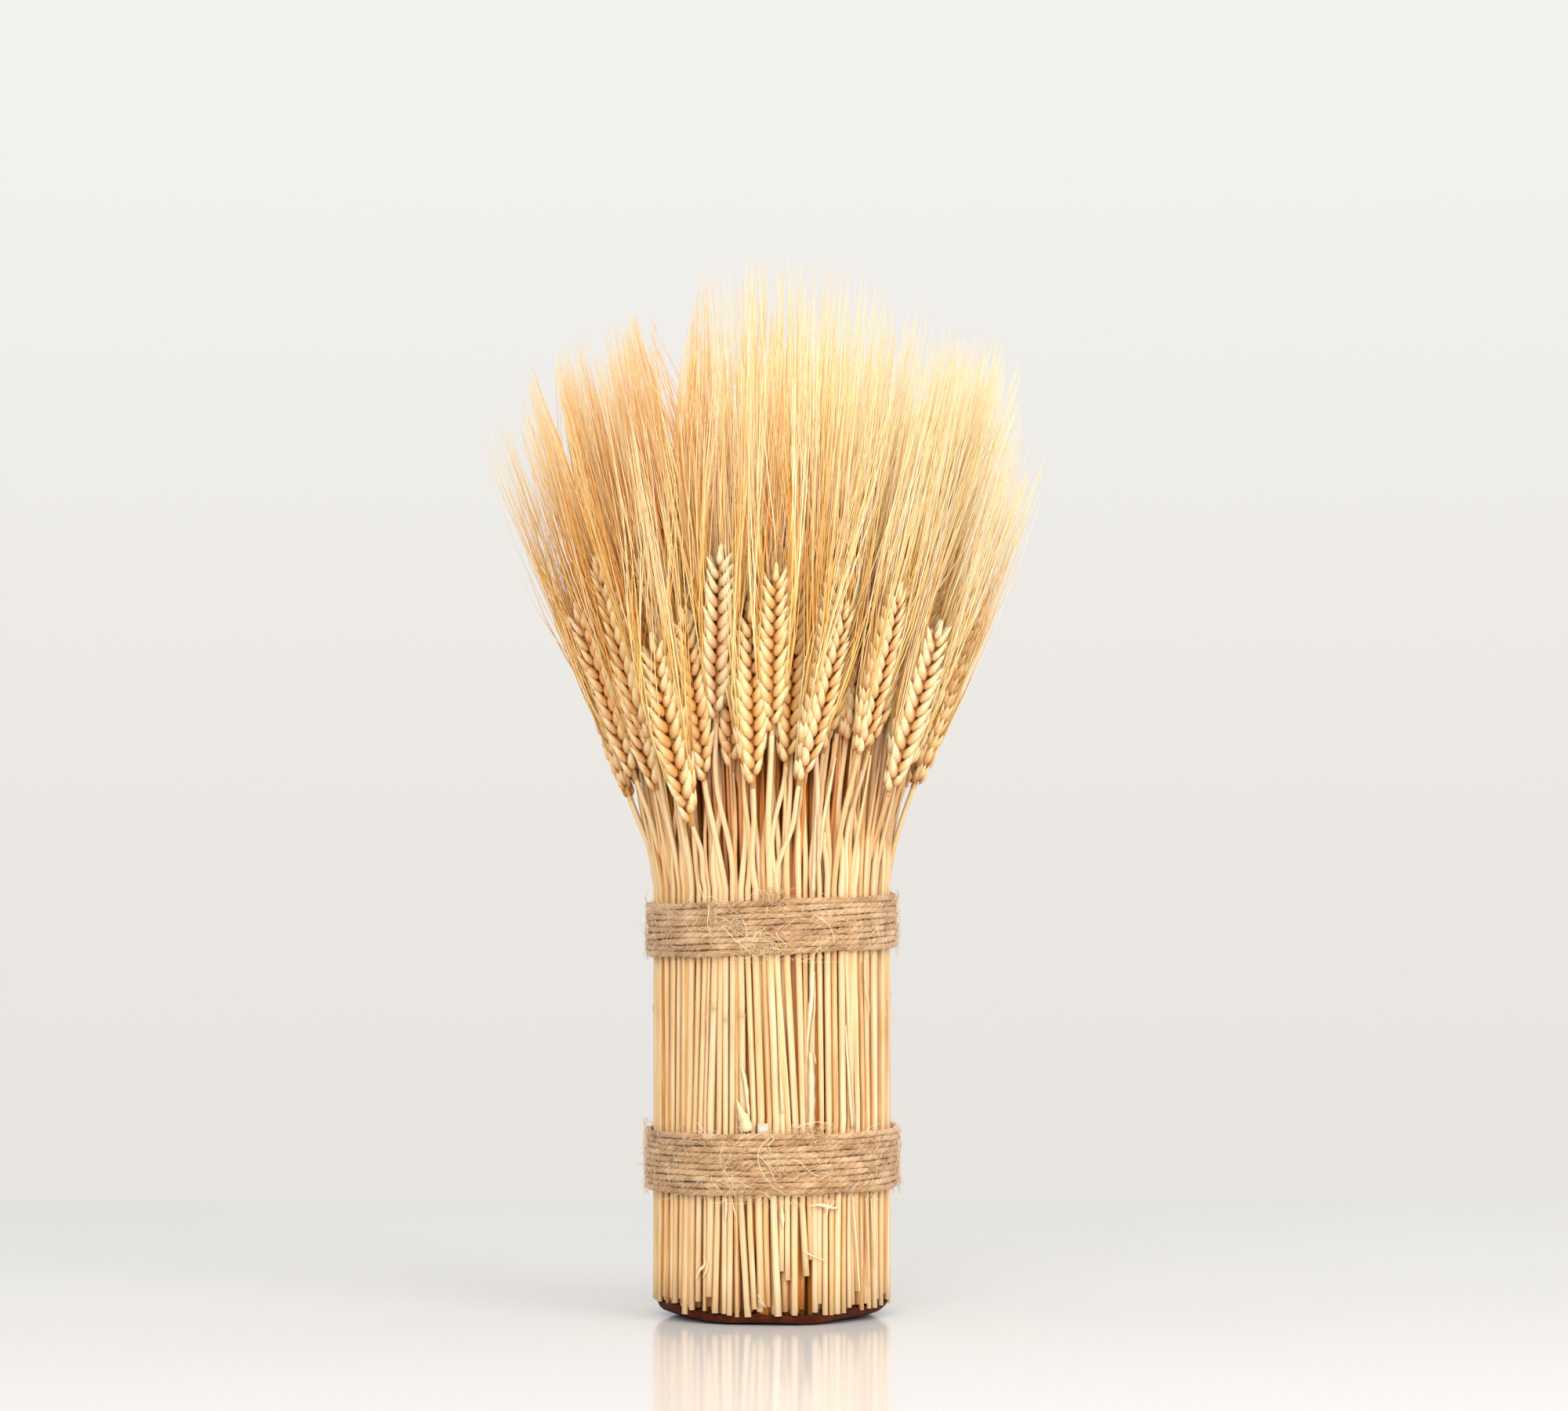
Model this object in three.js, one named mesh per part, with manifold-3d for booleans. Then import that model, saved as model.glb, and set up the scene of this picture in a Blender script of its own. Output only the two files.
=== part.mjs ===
// A standing sheaf of bearded wheat: straw stalks in a straight column, wound with two bands of
// twine, on a round felt pad. Above the upper band the stems lean out and end in ears with awns.
// Millimetres, +Z up, the front towards -Y, the origin in the middle of the pad's underside.
import * as THREE from "three";
import { mergeVertices } from "three/addons/utils/BufferGeometryUtils.js";
import Module from "manifold-3d";

const wasm = await Module();
wasm.setup();

const RADIANS = Math.PI / 180;
const FULL_TURN = 2 * Math.PI;
const GAP = 0.3; // between pieces that touch
const SAME_POINT = 1e-4; // corners closer than this are one

// Felt pad
const PAD_RADIUS = 44;
const PAD_WAVE = 0.7; // how far the cut edge wanders in and out
const PAD_THICKNESS = 3;
const PAD_EDGE_ROUND = 0.5;
const PAD_POINTS = 24;

// Straw column
const COLUMN_RADIUS = 45;
const COLUMN_FOOT = PAD_THICKNESS + GAP;
const NECK_HEIGHT = 161; // where the stems start to lean out
const OUTER_STEMS = 40;
const SIDES = 6; // of a stalk, a neck and an ear
const STALK_RADIUS = 1.85; // over the corners
const STALK_CIRCLE = COLUMN_RADIUS - STALK_RADIUS;
const STALK_SPACING = 3.08; // between the two stalks of one node, which are fused
const BROKEN_STALK_LIFT = 11; // how far above the pad a broken stalk may end
const STUB_HEIGHT = 32; // the second stalk of a node thins out this far above the neck

// The thin bent top of a stem, which carries the ear
const NECK_RADIUS = 1.2;
const NECK_BENDS = [ // how far along the neck its straight pieces meet, and how thick it is there
  { share: 0.36, radius: 1.75 },
  { share: 0.72, radius: 1.45 },
];
const NECK_STIFFNESS = 0.38; // share of the bend that stays straight at each end

// Ear: two rows of husks, left and right in turn, each a ridge that stands out of the ear
const EAR_LENGTH = 66;
const EAR_WIDTH = 13;
const EAR_DEPTH = 9.6;
const HUSKS = 9;
const HUSK_PITCH = EAR_LENGTH / (HUSKS + 1.6);
const HUSK_VALLEY = { width: 0.42, depth: 0.7 }; // share of the ear's size between two husks
const HUSK_LIFT = 3.8; // how far the tip of a husk points up past its root
const EAR_BELLY = 0.35; // share of the ear's length where it is widest
const EAR_TAPER = 0.5; // how much smaller it gets towards the tip

// Awns
const AWN_RADIUS = 0.32;
const AWN_SIDES = 3;
const AWN_REACH = 82; // past the tip of the ear
const AWN_REACH_SPREAD = 8;
const AWN_PITCH = 3; // degrees at most, fore or aft
const AWN_LEVELS = [4, 5, 7, 8]; // the husks that carry one, besides the tip
const AWN_ROOT = 0.78; // where it leaves the husk, as a share of the way out to the husk's tip
const AWN_NUMBERS = 31; // numbers kept for the awns of one ear, so that no two draws are alike

// Where the ears stand: the radius and height of the foot, the lean outwards in degrees, and how
// many degrees the awns fan out to either side of the ear
const LOW_ROW = { radius: 54, height: 199, heightSpread: 7, lean: 20, fan: 4.4 };
const HIGH_ROW = { radius: 46, height: 223, heightSpread: 7, lean: 12.5, fan: 3.2 };
const INNER_ROW = { radius: 30, height: 240, heightSpread: 6, lean: 8, fan: 3.6 };
const MIDDLE_ROW = { radius: 13, height: 249, heightSpread: 4, lean: 4, fan: 3 };
const CENTRE_EAR = { radius: 0, height: 250, heightSpread: 0, lean: 0, fan: 3 };
const LEAN_SPREAD = 1.5;
const SIDE_SPREAD = 1.6; // degrees to the left or right
const ROLL_SPREAD = 35; // degrees about the ear's own axis

// The ears at the front, counted to the left and right of the middle one: how high their foot is,
// and how far they are rolled so that their rows show from the front or from the side
const FRONT_EARS = [
  { stem: -8, height: 203, roll: 40 },
  { stem: -6, height: 214, roll: 0 },
  { stem: -4, height: 187, roll: 20 },
  { stem: -3, height: 213, roll: -30 },
  { stem: -2, height: 223, roll: 5 },
  { stem: -1, height: 215, roll: 75 },
  { stem: 0, height: 213, roll: 0 },
  { stem: 2, height: 204, roll: 65 },
  { stem: 3, height: 217, roll: -20 },
  { stem: 4, height: 211, roll: 15 },
  { stem: 6, height: 197, roll: -40 },
  { stem: 8, height: 208, roll: 20 },
];

// Inner bunches: six round a middle one
const BUNCHES = 6;
const BUNCH_EARS = 2;
const MIDDLE_EARS = 4;
const MIDDLE_RADIUS = 14;
const BUNCH_OUTER_RADIUS = STALK_CIRCLE - STALK_RADIUS - GAP;
const BUNCH_TOP = 190;
const BUNCH_START = 27; // the radius at which the inner stems leave the column
const MIDDLE_START = 10;
const STEM_SINK = 1; // how deep an inner stem starts below the neck's height
const FLUTE_DEPTH = 0.9;
const FLUTES_PER_BUNCH = 7;
const MIDDLE_FLUTES = 10;

// Twine bands and the tape under the lower one
const RING_SEGMENTS = 24;
const TWINE = 2.5;
const TWINE_GROOVE = 1; // depth between two turns
const LOWER_BAND = { foot: 46.8, turns: 10 };
const UPPER_BAND = { foot: 135.4, turns: 9 };
const TAPE_THICKNESS = 0.6;
const TAPE_FOOT = 48.5;
const TAPE_TOP = 70.5;
const TAPE_TAB = { x: -3.6, width: 4.6, top: 75 }; // where its edge shows above the band

const STRAW = { color: 0xe6c88c, roughness: 0.55, metalness: 0 };
const INNER_STRAW = { color: 0xd9b272, roughness: 0.65, metalness: 0 };
const JUTE = { color: 0xb99a72, roughness: 0.95, metalness: 0 };
const FELT = { color: 0x4a2317, roughness: 1, metalness: 0 };
const TAPE = { color: 0xc9c2b0, roughness: 0.4, metalness: 0 };

const sheaf = new THREE.Group();

// What the repeatable draws are for
const CARRIER_SIDE = 1;
const LEAN = 2;
const SIDE_TILT = 3;
const HEIGHT = 4;
const AWN_TOP = 6;
const AWN_TILT = 8;
const ROLL = 9;
const BROKEN = 10;

// A repeatable draw between -1 and 1 for one piece and one purpose.
function draw(piece, purpose) {
  const wave = Math.sin(piece * 12.9898 + purpose * 78.233) * 43758.5453;
  return 2 * (wave - Math.floor(wave)) - 1;
}

function solidOf(geometry) {
  const bare = geometry.clone();
  bare.deleteAttribute("normal");
  bare.deleteAttribute("uv");
  const merged = mergeVertices(bare, SAME_POINT);
  const mesh = new wasm.Mesh({
    numProp: 3,
    vertProperties: merged.attributes.position.array,
    triVerts: new Uint32Array(merged.index.array),
  });
  return new wasm.Manifold(mesh);
}

function geometryOf(solid) {
  const { vertProperties, triVerts } = solid.getMesh();
  const geometry = new THREE.BufferGeometry();
  geometry.setAttribute("position", new THREE.BufferAttribute(vertProperties, 3));
  geometry.setIndex(new THREE.BufferAttribute(triVerts, 1));
  geometry.computeVertexNormals();
  return geometry;
}

function fused(geometries) {
  return geometryOf(geometries.map(solidOf).reduce((whole, piece) => whole.add(piece)));
}

function addPiece(name, geometry, finish, turn = 0) {
  const mesh = new THREE.Mesh(geometry, new THREE.MeshStandardMaterial(finish));
  mesh.name = name;
  mesh.rotation.z = turn;
  sheaf.add(mesh);
}

// A six-sided body through a list of sections, from its cut foot to its pointed top. A section
// says where it stands, and gives its outline as a function of the angle from the front.
function skin(sections) {
  const rows = sections.length - 1;
  const geometry = new THREE.CylinderGeometry(0, 1, rows, SIDES, rows, false, Math.PI / SIDES);
  geometry.rotateX(Math.PI / 2).translate(0, 0, rows / 2);
  const position = geometry.attributes.position;
  const point = new THREE.Vector3();
  for (let i = 0; i < position.count; i++) {
    const section = sections[Math.round(position.getZ(i))];
    const onAxis = Math.hypot(position.getX(i), position.getY(i)) < SAME_POINT;
    if (onAxis) point.set(0, 0, 0);
    else point.copy(section.outline(Math.atan2(position.getX(i), -position.getY(i))));
    point.applyMatrix4(section.place);
    position.setXYZ(i, ...point);
  }
  return geometry;
}

// A matrix that stands a thing on `point` along `direction`, rolled about it.
function standing(point, direction, roll = 0) {
  const across = new THREE.Vector3(1, 0, 0).addScaledVector(direction, -direction.x).normalize();
  const inward = direction.clone().cross(across);
  const turn = new THREE.Matrix4().makeBasis(across, inward, direction);
  return turn.setPosition(point).multiply(new THREE.Matrix4().makeRotationZ(roll));
}

function roundSection(x, y, z, radius, direction = new THREE.Vector3(0, 0, 1)) {
  const outline = (angle) => new THREE.Vector3(radius * Math.sin(angle), -radius * Math.cos(angle), 0);
  return { place: standing(new THREE.Vector3(x, y, z), direction), outline };
}

// How large the ear is at one level, as a share of its size at its widest.
function swell(level) {
  return 1 - EAR_TAPER * ((level / (HUSKS + 1) - EAR_BELLY) / (1 - EAR_BELLY)) ** 2;
}

// One section of the ear, which the husk of that level leaves to the left or right.
function earSection(place, level) {
  const size = swell(level);
  const outline = (angle) => {
    const stands = Math.sin(angle) > 0 === (level % 2 === 1);
    const across = Math.sin(angle) * (stands ? 1 : HUSK_VALLEY.width);
    const through = (Math.cos(angle) / Math.cos(Math.PI / SIDES)) * (stands ? 1 : HUSK_VALLEY.depth);
    const lift = stands ? HUSK_LIFT * Math.abs(Math.sin(angle)) * size : 0;
    return new THREE.Vector3(
      (across * size * EAR_WIDTH) / 2,
      (-through * size * EAR_DEPTH) / 2,
      level * HUSK_PITCH + lift,
    );
  };
  return { place, outline };
}

// An awn from a point in the ear's frame up to `top`, fanning to one side and fore or aft.
function awn(x, z, top, fan, pitch) {
  const needle = new THREE.ConeGeometry(AWN_RADIUS, top - z, AWN_SIDES);
  needle.rotateX(Math.PI / 2).translate(0, 0, (top - z) / 2);
  needle.rotateX(pitch * RADIANS).rotateY(fan * RADIANS);
  return needle.translate(x, 0, z);
}

function awns(seed, fan) {
  const number = (level) => seed * AWN_NUMBERS + level;
  const spread = (level) => draw(number(level), AWN_TOP) * AWN_REACH_SPREAD;
  const top = (level) => EAR_LENGTH + AWN_REACH + spread(level);
  const sideAwns = AWN_LEVELS.map((level) => {
    const side = level % 2 ? 1 : -1;
    const root = (HUSK_VALLEY.width * (1 - AWN_ROOT) + AWN_ROOT) * swell(level) * side;
    const height = level * HUSK_PITCH + AWN_ROOT * HUSK_LIFT * swell(level);
    const pitch = draw(number(level), AWN_TILT) * AWN_PITCH;
    return awn((root * EAR_WIDTH) / 2, height, top(level), side * fan, pitch);
  });
  return [...sideAwns, awn(0, HUSKS * HUSK_PITCH, top(HUSKS), 0, 0)];
}

// One stem from `foot` up, with its neck, its ear and its awns. It is made with the front at -Y
// and then turned about the axis of the sheaf. It leaves the column at `x` and `startRadius`, and
// `row` says where its ear stands.
function stem(seed, row, foot, x, startRadius, turn = 0) {
  const lean = (row.lean + draw(seed, LEAN) * LEAN_SPREAD * Math.sign(row.lean)) * RADIANS;
  const side = draw(seed, SIDE_TILT) * SIDE_SPREAD * RADIANS;
  const seen = FRONT_EARS.find((ear) => (ear.stem + OUTER_STEMS) % OUTER_STEMS === seed);
  const height = seen?.height ?? row.height + draw(seed, HEIGHT) * row.heightSpread;
  const roll = seen?.roll ?? draw(seed, ROLL) * ROLL_SPREAD;
  const earFoot = new THREE.Vector3(0, -row.radius, height);
  const direction = new THREE.Vector3(Math.sin(side), -Math.sin(lean), Math.cos(lean)).normalize();
  const start = new THREE.Vector3(x, -startRadius, NECK_HEIGHT);
  const reach = earFoot.distanceTo(start) * NECK_STIFFNESS;
  const neck = new THREE.CubicBezierCurve3(
    start,
    start.clone().add(new THREE.Vector3(0, 0, reach)),
    earFoot.clone().addScaledVector(direction, -reach),
    earFoot,
  );
  const ear = standing(earFoot, direction, roll * RADIANS);
  const sections = [
    roundSection(x, -startRadius, foot, STALK_RADIUS),
    roundSection(x, -startRadius, NECK_HEIGHT, STALK_RADIUS),
    ...NECK_BENDS.map(({ share, radius }) => {
      return roundSection(...neck.getPoint(share), radius, neck.getTangent(share));
    }),
    roundSection(...earFoot, NECK_RADIUS, direction),
    ...Array.from({ length: HUSKS }, (unused, i) => earSection(ear, i + 1)),
    roundSection(...earFoot.clone().addScaledVector(direction, EAR_LENGTH), NECK_RADIUS),
  ];
  const pieces = [skin(sections), ...awns(seed, row.fan).map((piece) => piece.applyMatrix4(ear))];
  return pieces.map((piece) => piece.rotateZ(turn));
}

// One stem of the outer layer, fused with the stalk beside it.
function outerStem(index) {
  const row = index % 2 ? HIGH_ROW : LOW_ROW;
  const side = draw(index, CARRIER_SIDE) > 0 ? 0.5 : -0.5;
  const lift = Math.max(0, draw(index, BROKEN)) ** 2 * BROKEN_STALK_LIFT;
  const beside = -side * STALK_SPACING;
  const stub = skin([
    roundSection(beside, -STALK_CIRCLE, COLUMN_FOOT + lift, STALK_RADIUS),
    roundSection(beside, -STALK_CIRCLE, NECK_HEIGHT, STALK_RADIUS),
    roundSection(beside, -STALK_CIRCLE, NECK_HEIGHT + STUB_HEIGHT, 0),
  ]);
  const carrier = stem(index, row, COLUMN_FOOT, side * STALK_SPACING, STALK_CIRCLE);
  const name = `stem_outer_${String(index + 1).padStart(2, "0")}`;
  addPiece(name, fused([stub, ...carrier]), STRAW, (index / OUTER_STEMS) * FULL_TURN);
}

// A fluted prism: the massed stalks between two radii and two angles, a flute for each stalk.
function massedStalks(outerRadius, flutes, span, innerRadius) {
  const outline = new THREE.Shape();
  const cornerAt = (radius, angle) => [radius * Math.sin(angle), -radius * Math.cos(angle)];
  const sideGap = innerRadius ? GAP / 2 : 0;
  const halfAt = (radius) => span / 2 - sideGap / radius;
  const count = 2 * flutes;
  const last = innerRadius ? count : count - 1;
  for (let i = 0; i <= last; i++) {
    const radius = outerRadius - (i % 2 ? 0 : FLUTE_DEPTH);
    const angle = ((2 * i) / count - 1) * halfAt(outerRadius);
    if (i) outline.lineTo(...cornerAt(radius, angle));
    else outline.moveTo(...cornerAt(radius, angle));
  }
  if (innerRadius) {
    for (const share of [1, 0.5, 0, -0.5, -1]) {
      outline.lineTo(...cornerAt(innerRadius, share * halfAt(innerRadius)));
    }
  }
  const depth = BUNCH_TOP - COLUMN_FOOT;
  const prism = new THREE.ExtrudeGeometry(outline, { depth, bevelEnabled: false });
  return prism.translate(0, 0, COLUMN_FOOT);
}

// One of the bunches inside: its massed stalks and the stems that rise from them.
function innerBunch(index) {
  const span = FULL_TURN / BUNCHES;
  const pieces = [massedStalks(BUNCH_OUTER_RADIUS, FLUTES_PER_BUNCH, span, MIDDLE_RADIUS + GAP)];
  for (let i = 0; i < BUNCH_EARS; i++) {
    const seed = OUTER_STEMS + index * BUNCH_EARS + i;
    const turn = span * ((i + 0.5) / BUNCH_EARS - 0.5);
    pieces.push(...stem(seed, INNER_ROW, NECK_HEIGHT - STEM_SINK, 0, BUNCH_START, turn));
  }
  addPiece(`stems_inner_${index + 1}`, fused(pieces), INNER_STRAW, index * span);
}

function middleBunch() {
  const pieces = [massedStalks(MIDDLE_RADIUS, MIDDLE_FLUTES, FULL_TURN, 0)];
  const firstSeed = OUTER_STEMS + BUNCHES * BUNCH_EARS;
  pieces.push(...stem(firstSeed, CENTRE_EAR, NECK_HEIGHT - STEM_SINK, 0, 0));
  for (let i = 0; i < MIDDLE_EARS; i++) {
    const turn = (i / MIDDLE_EARS) * FULL_TURN;
    const seed = firstSeed + 1 + i;
    pieces.push(...stem(seed, MIDDLE_ROW, NECK_HEIGHT - STEM_SINK, 0, MIDDLE_START, turn));
  }
  addPiece("stems_middle", fused(pieces), INNER_STRAW);
}

// A many-sided ring. The radii of its profile are those of its flats, one of which faces the front.
function ring(profile) {
  const corner = 1 / Math.cos(Math.PI / RING_SEGMENTS);
  const points = [...profile, profile[0]].map(([radius, z]) => new THREE.Vector2(radius * corner, z));
  return new THREE.LatheGeometry(points, RING_SEGMENTS, Math.PI / RING_SEGMENTS).rotateX(Math.PI / 2);
}

// A band of twine: a ridge for each turn round a plain inner wall.
function twineBand(name, band, innerRadius) {
  const crest = innerRadius + TWINE - GAP;
  const profile = [[innerRadius, band.foot + band.turns * TWINE], [innerRadius, band.foot]];
  for (let turn = 0; turn < band.turns; turn++) {
    const foot = band.foot + turn * TWINE;
    profile.push([crest - TWINE_GROOVE, foot]);
    profile.push([crest, foot + TWINE / 2]);
  }
  profile.push([crest - TWINE_GROOVE, band.foot + band.turns * TWINE]);
  addPiece(name, geometryOf(solidOf(ring(profile))), JUTE);
}

function bindingTape() {
  const innerRadius = COLUMN_RADIUS + GAP;
  const outerRadius = innerRadius + TAPE_THICKNESS;
  const hoop = ring([
    [innerRadius, TAPE_TOP],
    [innerRadius, TAPE_FOOT],
    [outerRadius, TAPE_FOOT],
    [outerRadius, TAPE_TOP],
  ]);
  const tab = new THREE.BoxGeometry(TAPE_TAB.width, TAPE_THICKNESS, TAPE_TAB.top - TAPE_FOOT);
  tab.translate(TAPE_TAB.x, -(innerRadius + outerRadius) / 2, (TAPE_TAB.top + TAPE_FOOT) / 2);
  addPiece("binding_tape", fused([hoop, tab]), TAPE);
}

function feltPad() {
  const corners = Array.from({ length: PAD_POINTS }, (unused, i) => {
    const angle = (i / PAD_POINTS) * FULL_TURN;
    const wave = 0.6 * Math.sin(5 * angle + 1) + 0.4 * Math.sin(9 * angle);
    const radius = PAD_RADIUS - PAD_EDGE_ROUND + PAD_WAVE * wave;
    return new THREE.Vector2(radius * Math.cos(angle), radius * Math.sin(angle));
  });
  const pad = new THREE.ExtrudeGeometry(new THREE.Shape(corners), {
    depth: PAD_THICKNESS - 2 * PAD_EDGE_ROUND,
    bevelThickness: PAD_EDGE_ROUND,
    bevelSize: PAD_EDGE_ROUND,
    bevelSegments: 1,
  });
  addPiece("felt_pad", pad.translate(0, 0, PAD_EDGE_ROUND), FELT);
}

feltPad();
bindingTape();
twineBand("twine_band_lower", LOWER_BAND, COLUMN_RADIUS + GAP + TAPE_THICKNESS + GAP);
twineBand("twine_band_upper", UPPER_BAND, COLUMN_RADIUS + GAP);
for (let index = 0; index < OUTER_STEMS; index++) outerStem(index);
for (let index = 0; index < BUNCHES; index++) innerBunch(index);
middleBunch();

export default sheaf;
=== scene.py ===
import math

import bpy
import numpy as np
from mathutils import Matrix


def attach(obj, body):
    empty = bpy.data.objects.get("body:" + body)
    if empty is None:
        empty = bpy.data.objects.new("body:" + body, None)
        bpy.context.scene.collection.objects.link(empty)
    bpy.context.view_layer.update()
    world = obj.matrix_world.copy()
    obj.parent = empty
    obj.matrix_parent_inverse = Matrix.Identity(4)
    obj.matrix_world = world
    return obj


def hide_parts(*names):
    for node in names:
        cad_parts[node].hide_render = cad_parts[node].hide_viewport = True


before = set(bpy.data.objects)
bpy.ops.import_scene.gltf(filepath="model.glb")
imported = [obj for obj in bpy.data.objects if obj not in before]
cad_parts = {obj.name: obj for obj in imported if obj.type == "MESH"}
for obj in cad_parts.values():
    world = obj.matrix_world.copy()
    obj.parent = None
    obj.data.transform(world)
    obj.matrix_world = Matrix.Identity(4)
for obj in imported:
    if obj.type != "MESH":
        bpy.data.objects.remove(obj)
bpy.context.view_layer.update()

MM = 0.001
TURN = 2 * math.pi
UP = np.array([0.0, 0.0, 1.0])
ACROSS = np.array([1.0, 0.0, 0.0])
FRONT = np.array([0.0, -1.0, 0.0])

# Camera and floor, in metres and degrees
LENS = 108
SENSOR = 36
CAMERA_AT = (0.0045, -1.780, 0.188)
CAMERA_PITCH = 1.34  # upwards
FLOOR_BACK = 0.53  # behind the sheaf
FLOOR_HALF = 4

# The same layout as the solids
PAD_RADIUS = 43.6
COLUMN_FOOT = 3.3
NECK_HEIGHT = 161.0
LOWER_TIE = 59.0  # the heights at which the bands hold the stalks in place
UPPER_TIE = 147.0
OUTER_STEMS = 40
SKIN = 45.0  # distance from the axis to the outside of the outer stalks
STALK_SPACING = 3.08  # between the two stalks that a solid has
SIDE_LIFT = 3.2  # how far the pad and the stalks on it are turned up at the left and the right
NECK_STIFFNESS = 0.38
EAR_LENGTH = 66.0
AWN_REACH = 82.0
LOW_ROW = {"radius": 54, "height": 199, "spread": 7, "lean": 20}
HIGH_ROW = {"radius": 46, "height": 223, "spread": 7, "lean": 12.5}
INNER_ROW = {"radius": 30, "height": 240, "spread": 6, "lean": 8}
MIDDLE_ROW = {"radius": 13, "height": 249, "spread": 4, "lean": 4}
CENTRE_EAR = {"radius": 0, "height": 250, "spread": 0, "lean": 0}
LEAN_SPREAD = 1.5
SIDE_SPREAD = 1.6
ROLL_SPREAD = 35
FRONT_EARS = {  # counted from the middle one: height of the foot, and roll in degrees
    -8: (203, 40), -6: (214, 0), -4: (187, 20), -3: (213, -30), -2: (223, 5), -1: (215, 35),
    0: (213, 0), 2: (204, 35), 3: (217, -20), 4: (211, 15), 6: (197, -40), 8: (208, 20),
}
BUNCHES = 6
BUNCH_EARS = 2
BUNCH_START = 27.0
INNER_AWNS = 1.1  # how much longer the awns of the inner ears are
MIDDLE_START = 10.0
MIDDLE_EARS = 4
TWINE = 2.5
LOWER_BAND_FOOT = 46.8
UPPER_BAND_FOOT = 135.4

# What the repeatable draws are for, with the numbers that the solids use
CARRIER_SIDE = 1
LEAN = 2
SIDE_TILT = 3
HEIGHT = 4
ROLL = 9
STALK_DEPTH = 20  # these two only here
FOOT_DEPTH = 21

# Where the random draws start
OUTER_SEED = 1000
BUNCH_SEED = 2000
MIDDLE_SEED = 3000
PAD_SEED = 6000

PHOTO_WIDTH, PHOTO_HEIGHT = 2000, 1800
FOCAL = LENS / SENSOR * PHOTO_WIDTH
PIXELS = 3.45  # pixels of the photo in a millimetre at the front of the stalks
FLIPPED = [0, 3, 2, 1]  # turns a quad over


def draw(piece, purpose):
    """A repeatable number from -1 to 1 for one piece and one purpose, as the solids draw it."""
    wave = math.sin(piece * 12.9898 + purpose * 78.233) * 43758.5453
    return 2 * (wave - math.floor(wave)) - 1


def unit(vectors):
    vectors = np.asarray(vectors, float)
    return vectors / np.maximum(np.linalg.norm(vectors, axis=-1, keepdims=True), 1e-9)


def turned(points, angle):
    """The points turned about the axis of the sheaf."""
    cosine, sine = math.cos(angle), math.sin(angle)
    points = np.asarray(points, float)
    x, y, z = points[..., 0], points[..., 1], points[..., 2]
    return np.stack([x * cosine - y * sine, x * sine + y * cosine, z], -1)


def around(distance, azimuth, height):
    """Points at a distance from the axis, an azimuth from the front and a height."""
    sideways, forwards = distance * np.sin(azimuth), -distance * np.cos(azimuth)
    return np.stack(np.broadcast_arrays(sideways, forwards, height), -1)


def at_pixel(x, y, radius):
    """The azimuth and the height of what the camera sees at a pixel of the photo, if it is
    `radius` away from the axis."""
    azimuth = 0.0
    for _ in range(8):
        depth = -CAMERA_AT[1] / MM - radius * math.cos(azimuth)
        across = CAMERA_AT[0] / MM + (x - PHOTO_WIDTH / 2) * depth / FOCAL
        azimuth = math.asin(max(-0.998, min(0.998, across / radius)))
    rise = math.radians(CAMERA_PITCH) + math.atan((PHOTO_HEIGHT / 2 - y) / FOCAL)
    return azimuth, CAMERA_AT[2] / MM + depth * math.tan(rise)


def side_lift(azimuth):
    """How far the pad lifts the foot of the stalks at an azimuth."""
    return SIDE_LIFT * abs(math.sin(azimuth)) ** 2.5


def bezier(a, b, c, d, at):
    at = np.asarray(at, float)[..., None]
    off = 1 - at
    return off**3 * a + 3 * off**2 * at * b + 3 * off * at**2 * c + at**3 * d


def curve(knots, count):
    """`count` points on a smooth curve through the knots."""
    knots = np.asarray(knots, float)
    along = np.concatenate([[0], np.cumsum(np.linalg.norm(np.diff(knots, axis=0), axis=1))])
    slopes = np.gradient(knots, along, axis=0)
    place = np.linspace(0, along[-1], count)
    i = np.clip(np.searchsorted(along, place) - 1, 0, len(along) - 2)
    gap = (along[i + 1] - along[i])[:, None]
    u = (place[:, None] - along[i][:, None]) / gap
    return (
        (1 + 2 * u) * (1 - u) ** 2 * knots[i]
        + u * (1 - u) ** 2 * gap * slopes[i]
        + u**2 * (3 - 2 * u) * knots[i + 1]
        + u**2 * (u - 1) * gap * slopes[i + 1]
    )


def lattice(rows, columns, rows_closed=False, columns_closed=False):
    """The quads of a grid of points that are numbered row by row."""
    row = np.arange(rows if rows_closed else rows - 1)[:, None]
    column = np.arange(columns if columns_closed else columns - 1)
    above, beside = (row + 1) % rows * columns, (column + 1) % columns
    row = row * columns
    corners = [row + column, row + beside, above + beside, above + column]
    return np.stack(corners, -1).reshape(-1, 4)


def linked(name, data):
    """A new object in the scene."""
    made = bpy.data.objects.new(name, data)
    bpy.context.scene.collection.objects.link(made)
    return made


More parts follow.
